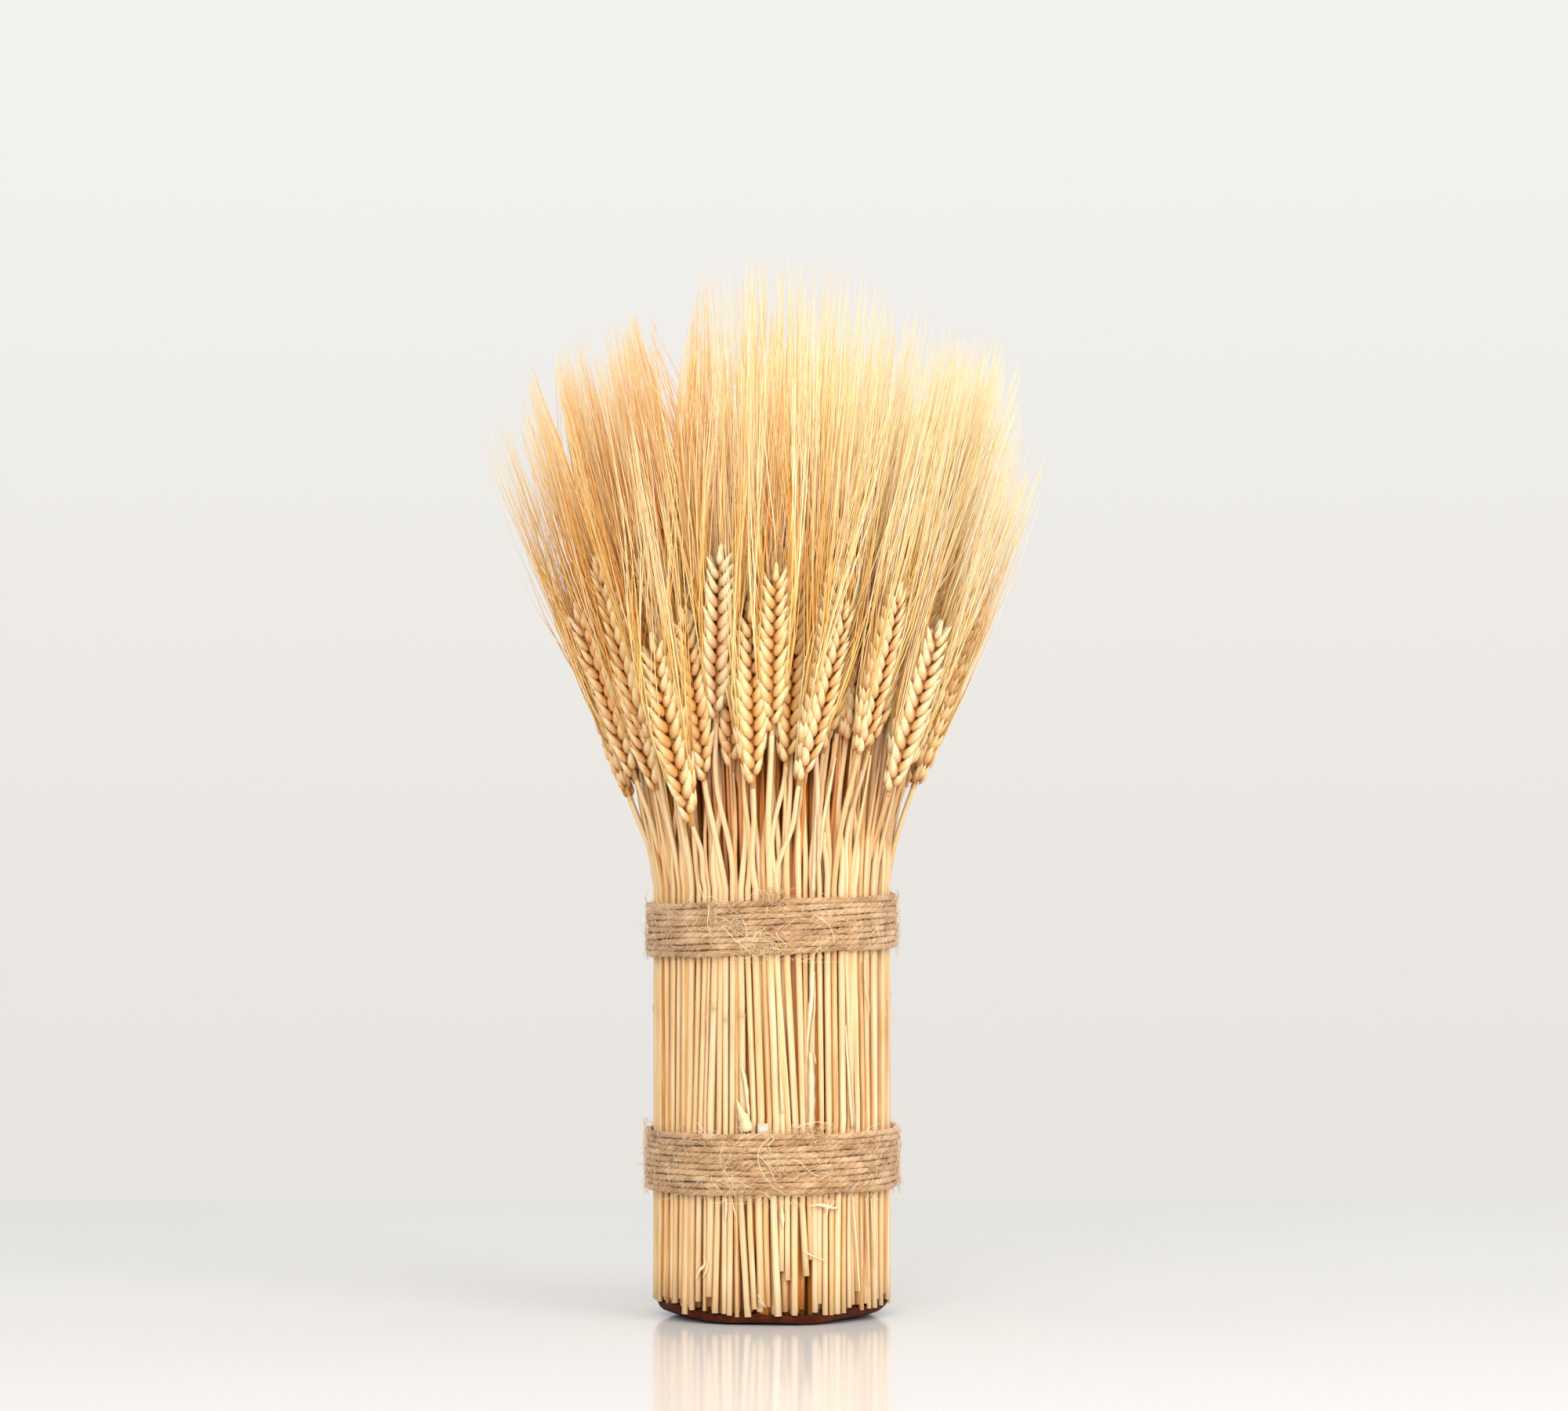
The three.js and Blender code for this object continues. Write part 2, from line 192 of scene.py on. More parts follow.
class Shape:
    """Faces with their attributes, gathered in millimetres and then made into one piece.

    `grain` is a point's place in the straight, unbent stalk, husk or fibre that it belongs to.
    `look` is (lighter or darker, greener or pinker, how aged), and materials read both. Lighter or
    darker holds painted light and shade as well as a piece's own tone, and for husks and awns how
    aged is the share of the length from the foot, which also places their painted shade at the
    foot."""

    def __init__(self):
        self.points, self.grain, self.look = [], [], []
        self.faces = {4: [], 3: []}
        self.finishes = {4: [], 3: []}
        self.count = 0

    def add(self, finish, points, grain, look, *meshes):
        """Copies of one mesh. The arrays are (copy, point, 3), and `meshes` holds the quads and
        the triangles of the first copy."""
        copies, size = points.shape[:2]
        self.points.append(points.reshape(-1, 3))
        self.grain.append(grain.reshape(-1, 3))
        self.look.append(np.broadcast_to(look, points.shape).reshape(-1, 3))
        first = self.count + size * np.arange(copies)[:, None, None]
        for faces in meshes:
            sides = faces.shape[1]
            self.faces[sides].append((faces + first).reshape(-1, sides))
            self.finishes[sides].append(np.full(copies * len(faces), finish))
        self.count += copies * size

    def turn(self, angle, first=0):
        """Turns what was added since `first` about the axis of the sheaf."""
        self.points[first:] = [turned(points, angle) for points in self.points[first:]]

    def make(self, name, materials, slot, *nodes):
        mesh = bpy.data.meshes.new(name)
        points = np.concatenate(self.points) * MM
        quads, triangles = (
            np.concatenate(self.faces[sides] or [np.zeros((0, sides), int)]) for sides in (4, 3)
        )
        corners = np.concatenate([quads.ravel(), triangles.ravel()])
        starts = np.concatenate(
            [4 * np.arange(len(quads)), 4 * len(quads) + 3 * np.arange(len(triangles))]
        )
        mesh.vertices.add(len(points))
        mesh.vertices.foreach_set("co", points.ravel())
        mesh.loops.add(len(corners))
        mesh.loops.foreach_set("vertex_index", corners)
        mesh.polygons.add(len(starts))
        mesh.polygons.foreach_set("loop_start", starts)
        finishes = np.concatenate(self.finishes[4] + self.finishes[3])
        mesh.polygons.foreach_set("material_index", finishes)
        for attribute, values in (("grain", self.grain), ("look", self.look)):
            made = mesh.attributes.new(attribute, "FLOAT_VECTOR", "POINT")
            made.data.foreach_set("vector", np.concatenate(values).ravel())
        mesh.update(calc_edges=True)
        mesh.validate()
        mesh.shade_smooth()
        for material in materials:
            mesh.materials.append(MATERIALS[material])
        piece = linked(name, mesh)
        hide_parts(*nodes)
        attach(piece, "root")
        return piece


def tubes(shape, finish, paths, radii, sides, look=(0, 0, 0), normals=None, spin=0.0, shift=0.0):
    """Closed tubes along `paths`, an array of (tube, point, 3), outlined by `radii`, an array of
    (tube, point) or (tube, point, side). `look` has the shape (3,), (tube, 3) or (tube, point, 3).
    `normals` say where each outline starts, which `spin` turns further."""
    paths = np.asarray(paths, float)
    if paths.ndim == 2:
        paths = paths[None]
    count, rings = paths.shape[:2]
    tangents = unit(np.gradient(paths, axis=1))
    if normals is None:
        normals = np.empty_like(paths)
        upright = np.abs(tangents[:, 0, :1]) < 0.8
        normal = np.cross(tangents[:, 0], np.where(upright, ACROSS, UP))
        for ring in range(rings):
            along = (normal * tangents[:, ring]).sum(-1, keepdims=True)
            normal = unit(normal - along * tangents[:, ring])
            normals[:, ring] = normal
    normals = np.broadcast_to(normals, paths.shape)
    others = np.cross(tangents, normals)
    radii = np.asarray(radii, float)
    if radii.ndim < 3:
        radii = np.broadcast_to(radii, (count, rings))[..., None]
    radii = np.broadcast_to(radii, (count, rings, sides))
    own = np.arange(sides) / sides * TURN
    angles = own + np.broadcast_to(spin, (count, rings))[..., None]
    cosine, sine = np.cos(angles)[..., None], np.sin(angles)[..., None]
    outline = cosine * normals[:, :, None] + sine * others[:, :, None]
    body = paths[:, :, None] + radii[..., None] * outline
    ends = paths[:, [0, -1]]
    steps = np.linalg.norm(np.diff(paths, axis=1), axis=-1)
    along = np.concatenate([np.zeros((count, 1)), np.cumsum(steps, axis=1)], axis=1)
    along = along + np.reshape(shift, (-1, 1))
    end_grain = np.zeros_like(ends)
    end_grain[..., 2] = along[:, [0, -1]]
    grain = [np.cos(own) * radii, np.sin(own) * radii, along[..., None]]
    grain = np.stack(np.broadcast_arrays(*grain), -1)
    look = np.asarray(look, float)
    if look.ndim < 3:
        look = look.reshape(-1, 1, 3)
    look = np.broadcast_to(look, (count, rings, 3))
    side = np.arange(sides)
    after = (side + 1) % sides
    last = (rings - 1) * sides
    foot = np.full(sides, rings * sides)
    feet = np.stack([foot, after, side], -1)
    tips = np.stack([foot + 1, last + side, last + after], -1)
    shape.add(
        finish,
        np.concatenate([body.reshape(count, -1, 3), ends], axis=1),
        np.concatenate([grain.reshape(count, -1, 3), end_grain], axis=1),
        np.concatenate([np.repeat(look, sides, axis=1), look[:, [0, -1]]], axis=1),
        lattice(rings, sides, columns_closed=True),
        np.concatenate([feet, tips]),
    )


# Husks
HUSK_STATIONS = ((0.1, 0.74, 0.7), (0.36, 1.0, 1.0), (0.7, 0.56, 0.6))  # along, width, bulge
HUSK_OUTLINE = ((-1.0, 0.0), (1.0, 0.0), (0.66, 0.5), (0.0, 1.0), (-0.66, 0.5))
HUSK_CURL = 0.06  # how far the tip bends back over the inner side, as a share of the length


def husk_template():
    """A boat-shaped husk one long, with its keel towards +Y: its points and its faces."""
    points = [(0.0, 0.25, 0.0)]
    for along, width, bulge in HUSK_STATIONS:
        points += [(x * width, y * bulge, along) for x, y in HUSK_OUTLINE]
    points.append((0.0, 0.15, 1.0))
    sides = len(HUSK_OUTLINE)
    quads, triangles = [], []
    for side in range(sides):
        after = (side + 1) % sides
        triangles.append((0, 1 + after, 1 + side))
        for ring in range(len(HUSK_STATIONS) - 1):
            a, b = 1 + ring * sides, 1 + (ring + 1) * sides
            quads.append((a + side, a + after, b + after, b + side))
        top = 1 + (len(HUSK_STATIONS) - 1) * sides
        triangles.append((len(points) - 1, top + side, top + after))
    return np.array(points), np.array(quads), np.array(triangles)


HUSK_POINTS, HUSK_QUADS, HUSK_TRIANGLES = husk_template()


def husks(shape, finish, roots, along, keel, length, width, bulge, look, shift):
    """Husks from `roots` along the directions `along`, their keels towards `keel`, and where
    their tips are. Without a finish only the tips are worked out."""
    keel = unit(keel - (keel * along).sum(-1, keepdims=True) * along)
    across = np.cross(keel, along)
    x, y, z = HUSK_POINTS.T
    length, width, bulge = length[:, None], width[:, None], bulge[:, None]
    lift = y * bulge - HUSK_CURL * z**2 * bulge
    points = (
        roots[:, None]
        + across[:, None] * (x * width / 2)[..., None]
        + keel[:, None] * lift[..., None]
        + along[:, None] * (z * length)[..., None]
    )
    if finish is not None:
        grain = np.stack([x * width / 2, y * bulge + shift[:, None], z * length], -1)
        looks = look[:, None] + z[:, None] * UP
        shape.add(finish, points, grain, looks, HUSK_QUADS, HUSK_TRIANGLES)
    return points[:, -1]


# Ears
SPIKELETS = 23
SPIKELET_TILT = 23.0  # degrees out of the ear's axis
TILT_SPREAD = 3.5
LOWEST = 3  # spikelets at the foot of an ear that stand closer and are paler
LAST_SPIKELET = 58.0  # how far up the ear the last one starts
# front or back, root across, root along, yaw, length, width, bulge, keel outwards, and how thick
# its awn is
FLORETS = (
    (-1, 1.3, 0.0, 10, 9.8, 5.0, 1.8, 0.35, 0),
    (1, 1.3, 0.0, 10, 9.8, 5.0, 1.8, 0.35, 0),
    (-1, 0.8, 1.6, 7, 11.4, 4.4, 1.9, 0.8, 1),
    (1, 0.8, 1.6, 7, 11.4, 4.4, 1.9, 0.8, 1),
    (0, 0.0, 2.4, 0, 10.2, 4.2, 1.8, 1.0, 0.55),
)
EAR_BELLY = 0.35
EAR_TAPER = 0.48
EAR_BEND = 2.5  # how far the tip of an ear may bow aside
HUSK_YAW_SPREAD = 4  # degrees
HUSK_TONE_SPREAD = 0.22
HUSK_HUE_SPREAD = 0.12
AWN_RADIUS = 0.34
AWN_POINTS = 5
AWN_SHORTEST = 24  # past the tip of the ear
AWN_SPAN = 62  # how much longer than that they get
AWN_FAN = 1.25  # how far awns spread, for how far they point out of the ear
AWN_STRANDS = 5  # how many groups the awns of an ear fall into
AWN_GATHERED = 0.6  # how far the awns of a group come together
STRAND_ASIDE = 8  # how far the groups lie apart, aside and fore or aft
STRAND_FORE = 5
THIN_AWNS_FROM = 0.3  # the share of the ear above which the middle florets have awns
PAINTED_LIGHT_RIGHT = 1.6  # painted light: how much paler the awns at the right are, where the key light falls
PAINTED_SHADE_LEFT = 0.8  # painted shade: and how much darker those at the left are
STRAY_EVERY = 27  # one awn in so many strays from the others
STRAY_WITHIN = 99.0  # if its tip is no further than this from the axis
STRAY_ASIDE = 9.0  # how far its tip is moved aside, outwards and down
STRAY_OUT = 9.0
STRAY_SHORTER = 24.0
STRAW, HUSK, AWN, SHEATH, INNER = 0, 1, 2, 3, 4  # places in a stem's list of materials
MOST = 500  # the largest shift of a grain, so that no two pieces have the same


def ear_frame(direction, roll):
    """The ear's own directions: across its two rows, through it, and along it."""
    across = unit(ACROSS - direction[0] * direction)
    through = np.cross(direction, across)
    cosine, sine = math.cos(roll), math.sin(roll)
    return across * cosine + through * sine, through * cosine - across * sine, direction


# The top outline of the awns as the camera sees it: place across and height
OUTLINE = (
    (-118, 318), (-112, 328), (-108, 336), (-102, 342), (-97, 342), (-92, 352), (-89.5, 364),
    (-84, 362), (-80, 364), (-76, 375), (-63, 376), (-56, 373), (-51, 371), (-46.5, 378),
    (-43.5, 376), (-40, 364), (-36.5, 382), (-31, 391), (-27, 396), (-18, 399), (-5, 397),
    (4, 397), (12, 398), (23, 400), (32, 396), (38, 388), (42, 385), (47.5, 382), (51, 377),
    (60, 377), (66, 373), (72, 370), (80, 369), (93, 365), (95.5, 330), (98, 312), (102, 311),
    (106, 318), (111, 327), (114, 318),
)
OUTLINE_X, OUTLINE_Z = np.array(OUTLINE).T
# The gaps between groups of awns, seen from the front: place across at the foot, height of the
# foot, how far the gap leans, how it widens, and how far aside the awns are moved
NOTCHES = (
    (-38.6, 322, -0.03, 0.13, 17.0), (-49.5, 338, 0.02, 0.07, 6.0),
    (-75.5, 318, -0.28, 0.10, 9.0), (-94.0, 322, -0.3, 0.1, 7.0),
    (48.0, 356, 0.05, 0.09, 7.0), (88.0, 330, 0.1, 0.07, 7.0),
)


def as_seen(points):
    """Where points appear in the plane of the axis when seen by the camera: across and height,
    and the scale of the view at each."""
    scale = -CAMERA_AT[1] / (-CAMERA_AT[1] + points[..., 1] * MM)
    x, z = CAMERA_AT[0] / MM, CAMERA_AT[2] / MM
    return x + (points[..., 0] - x) * scale, z + (points[..., 2] - z) * scale, scale


def trimmed(rng, ends, along, azimuth):
    """Awn tips drawn back along the ear to the outline of the sheaf."""
    across, height, _ = as_seen(turned(ends, azimuth))
    edge = np.interp(across, OUTLINE_X, OUTLINE_Z) - rng.exponential(6.0, len(ends)) + 3
    edge += np.where(rng.uniform(size=len(ends)) < 0.02, rng.uniform(4, 12, len(ends)), 0)
    return ends - along * np.maximum(height - edge, 0)[:, None]


def parted(paths, azimuth):
    """Awns moved aside from the gaps."""
    placed = turned(paths, azimuth)
    for foot_x, foot, lean, widening, reach in NOTCHES:
        across, height, scale = as_seen(placed)
        rise = np.clip(height - foot, 0, 70)
        away = across - foot_x - lean * (height - foot)
        side = np.where(away < 0, -1, 1)
        share = np.clip(1 - np.abs(away) / reach, 0, 1)
        placed[..., 0] += side * widening * rise * share / scale
    return turned(placed, -azimuth)


def ear(shape, rng, foot, direction, roll, tone, hue, scale=1.0, azimuth=0.0, longer=1.0,
        depth=0.0, hidden=False, sweep=0.0):
    """An ear on `foot` along `direction`, with its husks and awns. `azimuth` is how far the whole
    stem is to be turned about the axis. The awns of ears at a greater `depth` are darker and those
    at a negative one lighter, painted shade and light for how deep in the sheaf an ear stands, and
    a hidden ear has fewer husks. `sweep` is how far aside the tips of the awns are drawn."""

    across, through, along = ear_frame(direction, roll)
    number = np.arange(SPIKELETS)
    rise = number * LAST_SPIKELET / (SPIKELETS - 1) + rng.uniform(-0.3, 0.3, SPIKELETS)
    rise *= scale
    side = np.where(number % 2, 1.0, -1.0)
    side[-1] = 0
    share = rise / EAR_LENGTH / scale
    size = 1 - EAR_TAPER * ((share - EAR_BELLY) / (1 - EAR_BELLY)) ** 2
    size *= np.where(number < 2, 0.84, 1.0) * rng.uniform(0.93, 1.06, SPIKELETS) * scale**0.5
    bend = rng.uniform(-EAR_BEND, EAR_BEND)

    def bow(height):
        return bend * (height / EAR_LENGTH) ** 2

    tilt = SPIKELET_TILT + rng.uniform(-TILT_SPREAD, TILT_SPREAD, SPIKELETS)
    tilt = np.radians(tilt) * np.abs(side)
    tilt = np.where(number < LOWEST, tilt * 0.8, tilt)
    strand_out = np.linspace(-STRAND_ASIDE, STRAND_ASIDE, AWN_STRANDS)
    strand_out = rng.permutation(strand_out) + rng.normal(0, 1, AWN_STRANDS)
    strand_fore = rng.uniform(-STRAND_FORE, STRAND_FORE, AWN_STRANDS)
    strand_tone = rng.normal(0, 1, AWN_STRANDS)
    lengthwise = np.cos(tilt)[:, None] * along + (side * np.sin(tilt))[:, None] * across
    outward = (side * np.cos(tilt))[:, None] * across - np.sin(tilt)[:, None] * along
    outward = np.where(side[:, None] == 0, -through, outward)
    grown = []
    for front, root_across, root_along, yaw, length, width, bulge, outwards, awn in FLORETS:
        turn = yaw + rng.uniform(-HUSK_YAW_SPREAD, HUSK_YAW_SPREAD, SPIKELETS)
        turn = np.radians(turn) * front
        way = np.cos(turn)[:, None] * lengthwise + np.sin(turn)[:, None] * through
        keel = outward * outwards + through * (front * 0.9)
        root = (
            foot
            + along * rise[:, None]
            + across * (side * 0.85 * size + bow(rise))[:, None]
            + through * (front * root_across * size)[:, None]
            + lengthwise * (root_along * size)[:, None]
        )
        if front == 0:
            root = root + outward * (0.8 * size)[:, None]
        vary = rng.uniform(0.94, 1.07, SPIKELETS)
        look = np.zeros((SPIKELETS, 3))
        look[:, 0] = np.where(number < LOWEST, tone + 0.5, tone)
        look[:, 0] += rng.normal(0, HUSK_TONE_SPREAD, SPIKELETS)
        look[:, 1] = hue + rng.normal(0, HUSK_HUE_SPREAD, SPIKELETS)
        finish = None if hidden and awn and front else HUSK
        tips = husks(shape, finish, root, way, keel, length * size * vary, width * size,
                     bulge * size, look, rng.uniform(0, MOST, SPIKELETS))
        if awn:
            reach = AWN_SHORTEST + AWN_SPAN * rng.uniform(0, 1, SPIKELETS) ** 0.55
            reach = reach - 10 * (1 - share)
            out = side * rng.uniform(1.5, 9, SPIKELETS) + rng.normal(0, 2.6, SPIKELETS)
            fore = front * rng.uniform(3, 8, SPIKELETS) + rng.normal(0, 2.6, SPIKELETS)
            near = out[:, None] + rng.normal(0, 2, (SPIKELETS, 1))
            group = np.abs(near - strand_out).argmin(1)
            out += (strand_out[group] - out) * AWN_GATHERED
            fore += (strand_fore[group] - fore) * AWN_GATHERED * 0.6
            end = (
                foot
                + along * (EAR_LENGTH + reach * longer * AWN_REACH / 80)[:, None]
                + across * (out * AWN_FAN + bow(EAR_LENGTH))[:, None]
                + through * (fore * AWN_FAN)[:, None]
                + ACROSS * (sweep * reach / AWN_REACH)[:, None]
            )
            here = (awn == 1) | (share > THIN_AWNS_FROM)
            thickness = np.full(SPIKELETS, awn)
            grown.append([
                part[here] for part in (tips - way * 0.4, end, way, unit(keel), group, thickness)
            ])
    start, end, way, keel, group, thickness = (np.concatenate(parts) for parts in zip(*grown))
    count = len(start)
    outward = keel * rng.uniform(0.8, 3.4, (count, 1))
    end = trimmed(rng, end, along, azimuth)
    stray = np.arange(count) % STRAY_EVERY == STRAY_EVERY // 2
    stray &= np.hypot(end[:, 0], end[:, 1]) < STRAY_WITHIN
    swing = np.where(group[stray] % 2, STRAY_ASIDE, -STRAY_ASIDE)[:, None]
    end[stray] += swing * across - STRAY_SHORTER * along + STRAY_OUT * FRONT
    span = np.linalg.norm(end - start, axis=1)[:, None]
    bend_out = rng.normal(0, 0.013, (count, 3)) * span
    at = np.linspace(0, 1, AWN_POINTS) ** 1.15
    paths = bezier(
        start[:, None],
        (start + way * span * 0.08 + along * span * 0.18 + outward)[:, None],
        (end - along * span * 0.35 + bend_out)[:, None],
        end[:, None],
        at[None],
    )
    paths = parted(paths, azimuth)
    thickness = thickness * rng.uniform(0.7, 1.15, count)
    radii = AWN_RADIUS * (1 - 0.8 * at) * thickness[:, None]
    # painted light: awns whose tips stand out towards the front are lighter
    painted_front_light = np.clip((end - foot - along * 150) @ FRONT / 9, -1, 1)
    # painted light and shade: the awns at the right are paler and those at the left darker
    right = math.sin(azimuth)
    painted_light_and_shade = right * (PAINTED_LIGHT_RIGHT if right > 0 else PAINTED_SHADE_LEFT)
    # painted shade: the awns of ears at a greater depth are darker
    own_tone = tone - depth + painted_light_and_shade + strand_tone[group] + 0.8 * painted_front_light
    look = np.zeros((count, AWN_POINTS, 3))
    look[..., 0] = (own_tone + rng.normal(0, 1, count))[:, None] * (1 - 0.5 * at)
    look[..., 1] = 0.4 * hue + rng.normal(0, 0.15, count)[:, None]
    look[..., 2] = at
    tubes(shape, AWN, paths, radii, 3, look, shift=rng.uniform(0, MOST, count))
    # the stem of the ear, on which the husks sit
    spine = foot + along * np.linspace(-2, LAST_SPIKELET * scale, 7)[:, None]
    spine = spine + across * bow(np.linspace(0, LAST_SPIKELET, 7))[:, None]
    tubes(shape, HUSK, spine, np.linspace(1.15, 0.8, 7)[None], 5, (tone - 0.4, hue, 0.2))


# Stems
STALK_SIDES = 8
STRAIGHT_POINTS = 12
NECK_POINTS = 11
NECK_BOW = np.array([1.6, 0.9])  # how much necks bend aside on their way up
NODE_PROFILE = np.array([  # a stalk's joint: height, thickness and how aged it is
    (-3.2, 1.0, 0.0), (-1.3, 1.06, 0.4), (-0.6, 1.2, 1.0), (0.4, 1.2, 0.8), (1.2, 0.95, 0.5),
    (3.0, 1.0, 0.0),
])


def stalk(shape, rng, foot, knots, radius, top_radius, neck, joint=None, tone=None, hue=None,
          finish=STRAW):
    """A straw stalk that starts at the height `foot`. `knots` are (height, x, distance from the
    axis) in the straight column, and `neck` continues it with more points."""
    tone = rng.uniform(-1, 1) if tone is None else tone
    hue = rng.normal(0, 0.25) if hue is None else hue
    knots = np.asarray(knots, float)
    heights = np.linspace(foot, knots[-1, 0], STRAIGHT_POINTS)
    profile = np.stack([heights, np.ones_like(heights), np.zeros_like(heights)], -1)
    if joint:
        extra = NODE_PROFILE + np.array([joint, 0, 0])
        profile = np.concatenate([profile[np.abs(heights - joint) > 4], extra])
        profile = profile[np.argsort(profile[:, 0])]
    heights, swell, aged = profile.T
    x = np.interp(heights, knots[:, 0], knots[:, 1])
    back = np.interp(heights, knots[:, 0], knots[:, 2])
    path = np.concatenate([np.stack([x, -back, heights], -1), neck])
    radii = radius * swell * (1 + 0.03 * rng.normal(0, 1, len(heights)))
    share = np.linspace(0, 1, len(neck) + 1)[1:]
    radii = np.concatenate([radii, radius + (top_radius - radius) * share**0.7])
    look = np.zeros((1, len(path), 3))
    look[..., 0] = tone
    look[..., 1] = hue
    look[0, : len(aged), 2] = aged
    tubes(shape, finish, path, radii[None], STALK_SIDES, look, shift=rng.uniform(0, MOST))


def direction_of(lean, side):
    return unit([math.sin(side), -math.sin(lean), math.cos(lean)])


def neck_curve(start, foot, direction, count=NECK_POINTS, flare=0.0, bow=(0.0, 0.0)):
    """A neck from the top of the column to the foot of an ear. It leaves the column at the angle
    `flare` and bows aside on its way."""
    reach = np.linalg.norm(foot - start) * NECK_STIFFNESS
    at = np.linspace(0, 1, count + 1)[1:]
    leaving = direction_of(flare, 0)
    path = bezier(start, start + leaving * reach, foot - direction * reach, foot, at)
    path[:, 0] += bow[0] * np.sin(math.pi * at) ** 2 + bow[1] * np.sin(TURN * at) * (1 - at)
    return path


def place_of(seed, row, index=None):
    """Where the ear of a CAD stem stands in that stem's own frame: foot, direction and roll."""
    lean = math.radians(row["lean"] + draw(seed, LEAN) * LEAN_SPREAD * (row["lean"] > 0))
    side = math.radians(draw(seed, SIDE_TILT) * SIDE_SPREAD)
    seen = FRONT_EARS.get(index)
    height = seen[0] if seen else row["height"] + draw(seed, HEIGHT) * row["spread"]
    roll = seen[1] if seen else draw(seed, ROLL) * ROLL_SPREAD
    return np.array([0, -row["radius"], height]), direction_of(lean, side), math.radians(roll)


# The second ear of some outer stems at the front: azimuth from the stem's own, distance from the
# axis, height of the foot, lean and roll in degrees
SECOND_EARS = {
    -14: (0, 46, 219, 14, -20), -13: (2, 47, 215, 15, 25), -12: (-1, 47, 219, 14.5, 20),
    -11: (1, 49, 214, 15, -10), -10: (0, 46, 222, 14, -30), -9: (2, 48, 213, 15.5, 15),
    -8: (0, 46.5, 219, 14, 10), -7: (4.6, 50, 197.5, 18, 30), -5: (-4.1, 48, 218, 13, -20),
    -2: (-1.0, 45, 206, 10, 15), -1: (1.4, 52, 200, 12, 25), 1: (-2.4, 47, 208, 11, 10),
    3: (-2.0, 45, 213, 13, 40), 5: (1.5, 50, 214, 16, -10),
    6: (0, 50, 222, 15.5, 20), 7: (2, 49, 225, 15, -30), 8: (0, 51, 223, 16, 30),
    9: (-1.5, 50, 221, 15.5, 0), 10: (1, 52, 225, 15.5, 40), 11: (0, 50, 223, 15.5, -20),
    12: (-2, 51, 222, 15, 10), 13: (0, 50, 224, 15, -15), 14: (1, 50, 221, 15, 20),
}
# The third ear of some nodes at the front, where the photo shows one more, and its sideways lean
THIRD_EARS = {
    -8: (2, 51, 214, 17, -30, 0), -5: (0, 45, 222, 11, 30, 0), -3: (-3, 44, 226, 9, 30, 0),
    0: (-1, 43, 222, 6, 40, 0), 1: (2.5, 52, 201, 12, 35, 12), 2: (1.5, 44, 224, 8, -20, 0),
    4: (-0.5, 47, 216, 11, 20, -1), 6: (2, 46, 228, 13, -35, 0), 8: (0, 47, 231, 14, 25, 0),
}
# How far the stems lean out already at the band, in degrees, at the right and at the left
FLARE_RIGHT = 5.0
FLARE_LEFT = 14.0
# How far some ears at the front are moved (aside, back and up), their sideways tilt in degrees,
# their length, and how far aside the tips of their awns are swept
EAR_SHIFTS = {
    -6: ((0, -1, 0), 0, 1.13, 0), -4: ((2.5, 0, -1), -2.5, 1.05, 14),
    -2: ((-4, 0, 1), 7.6, 1.03, 0), -1: ((-3.7, 0, -1), 2, 1, 0), 0: ((0, 0, 6.5), 1.6, 0.97, 0),
    2: ((1.5, 5, 11), 0, 0.97, 0), 4: ((0, -0.5, 0), 0, 1.03, 0),
}
UNMOVED = ((0, 0, 0), 0, 1, 0)
EAR_TONES = {-2: (0.5, -0.9), -1: (0.35, 0.9), 0: (0.2, 0.0), 4: (0.3, 0.1), -4: (0.1, -0.1)}

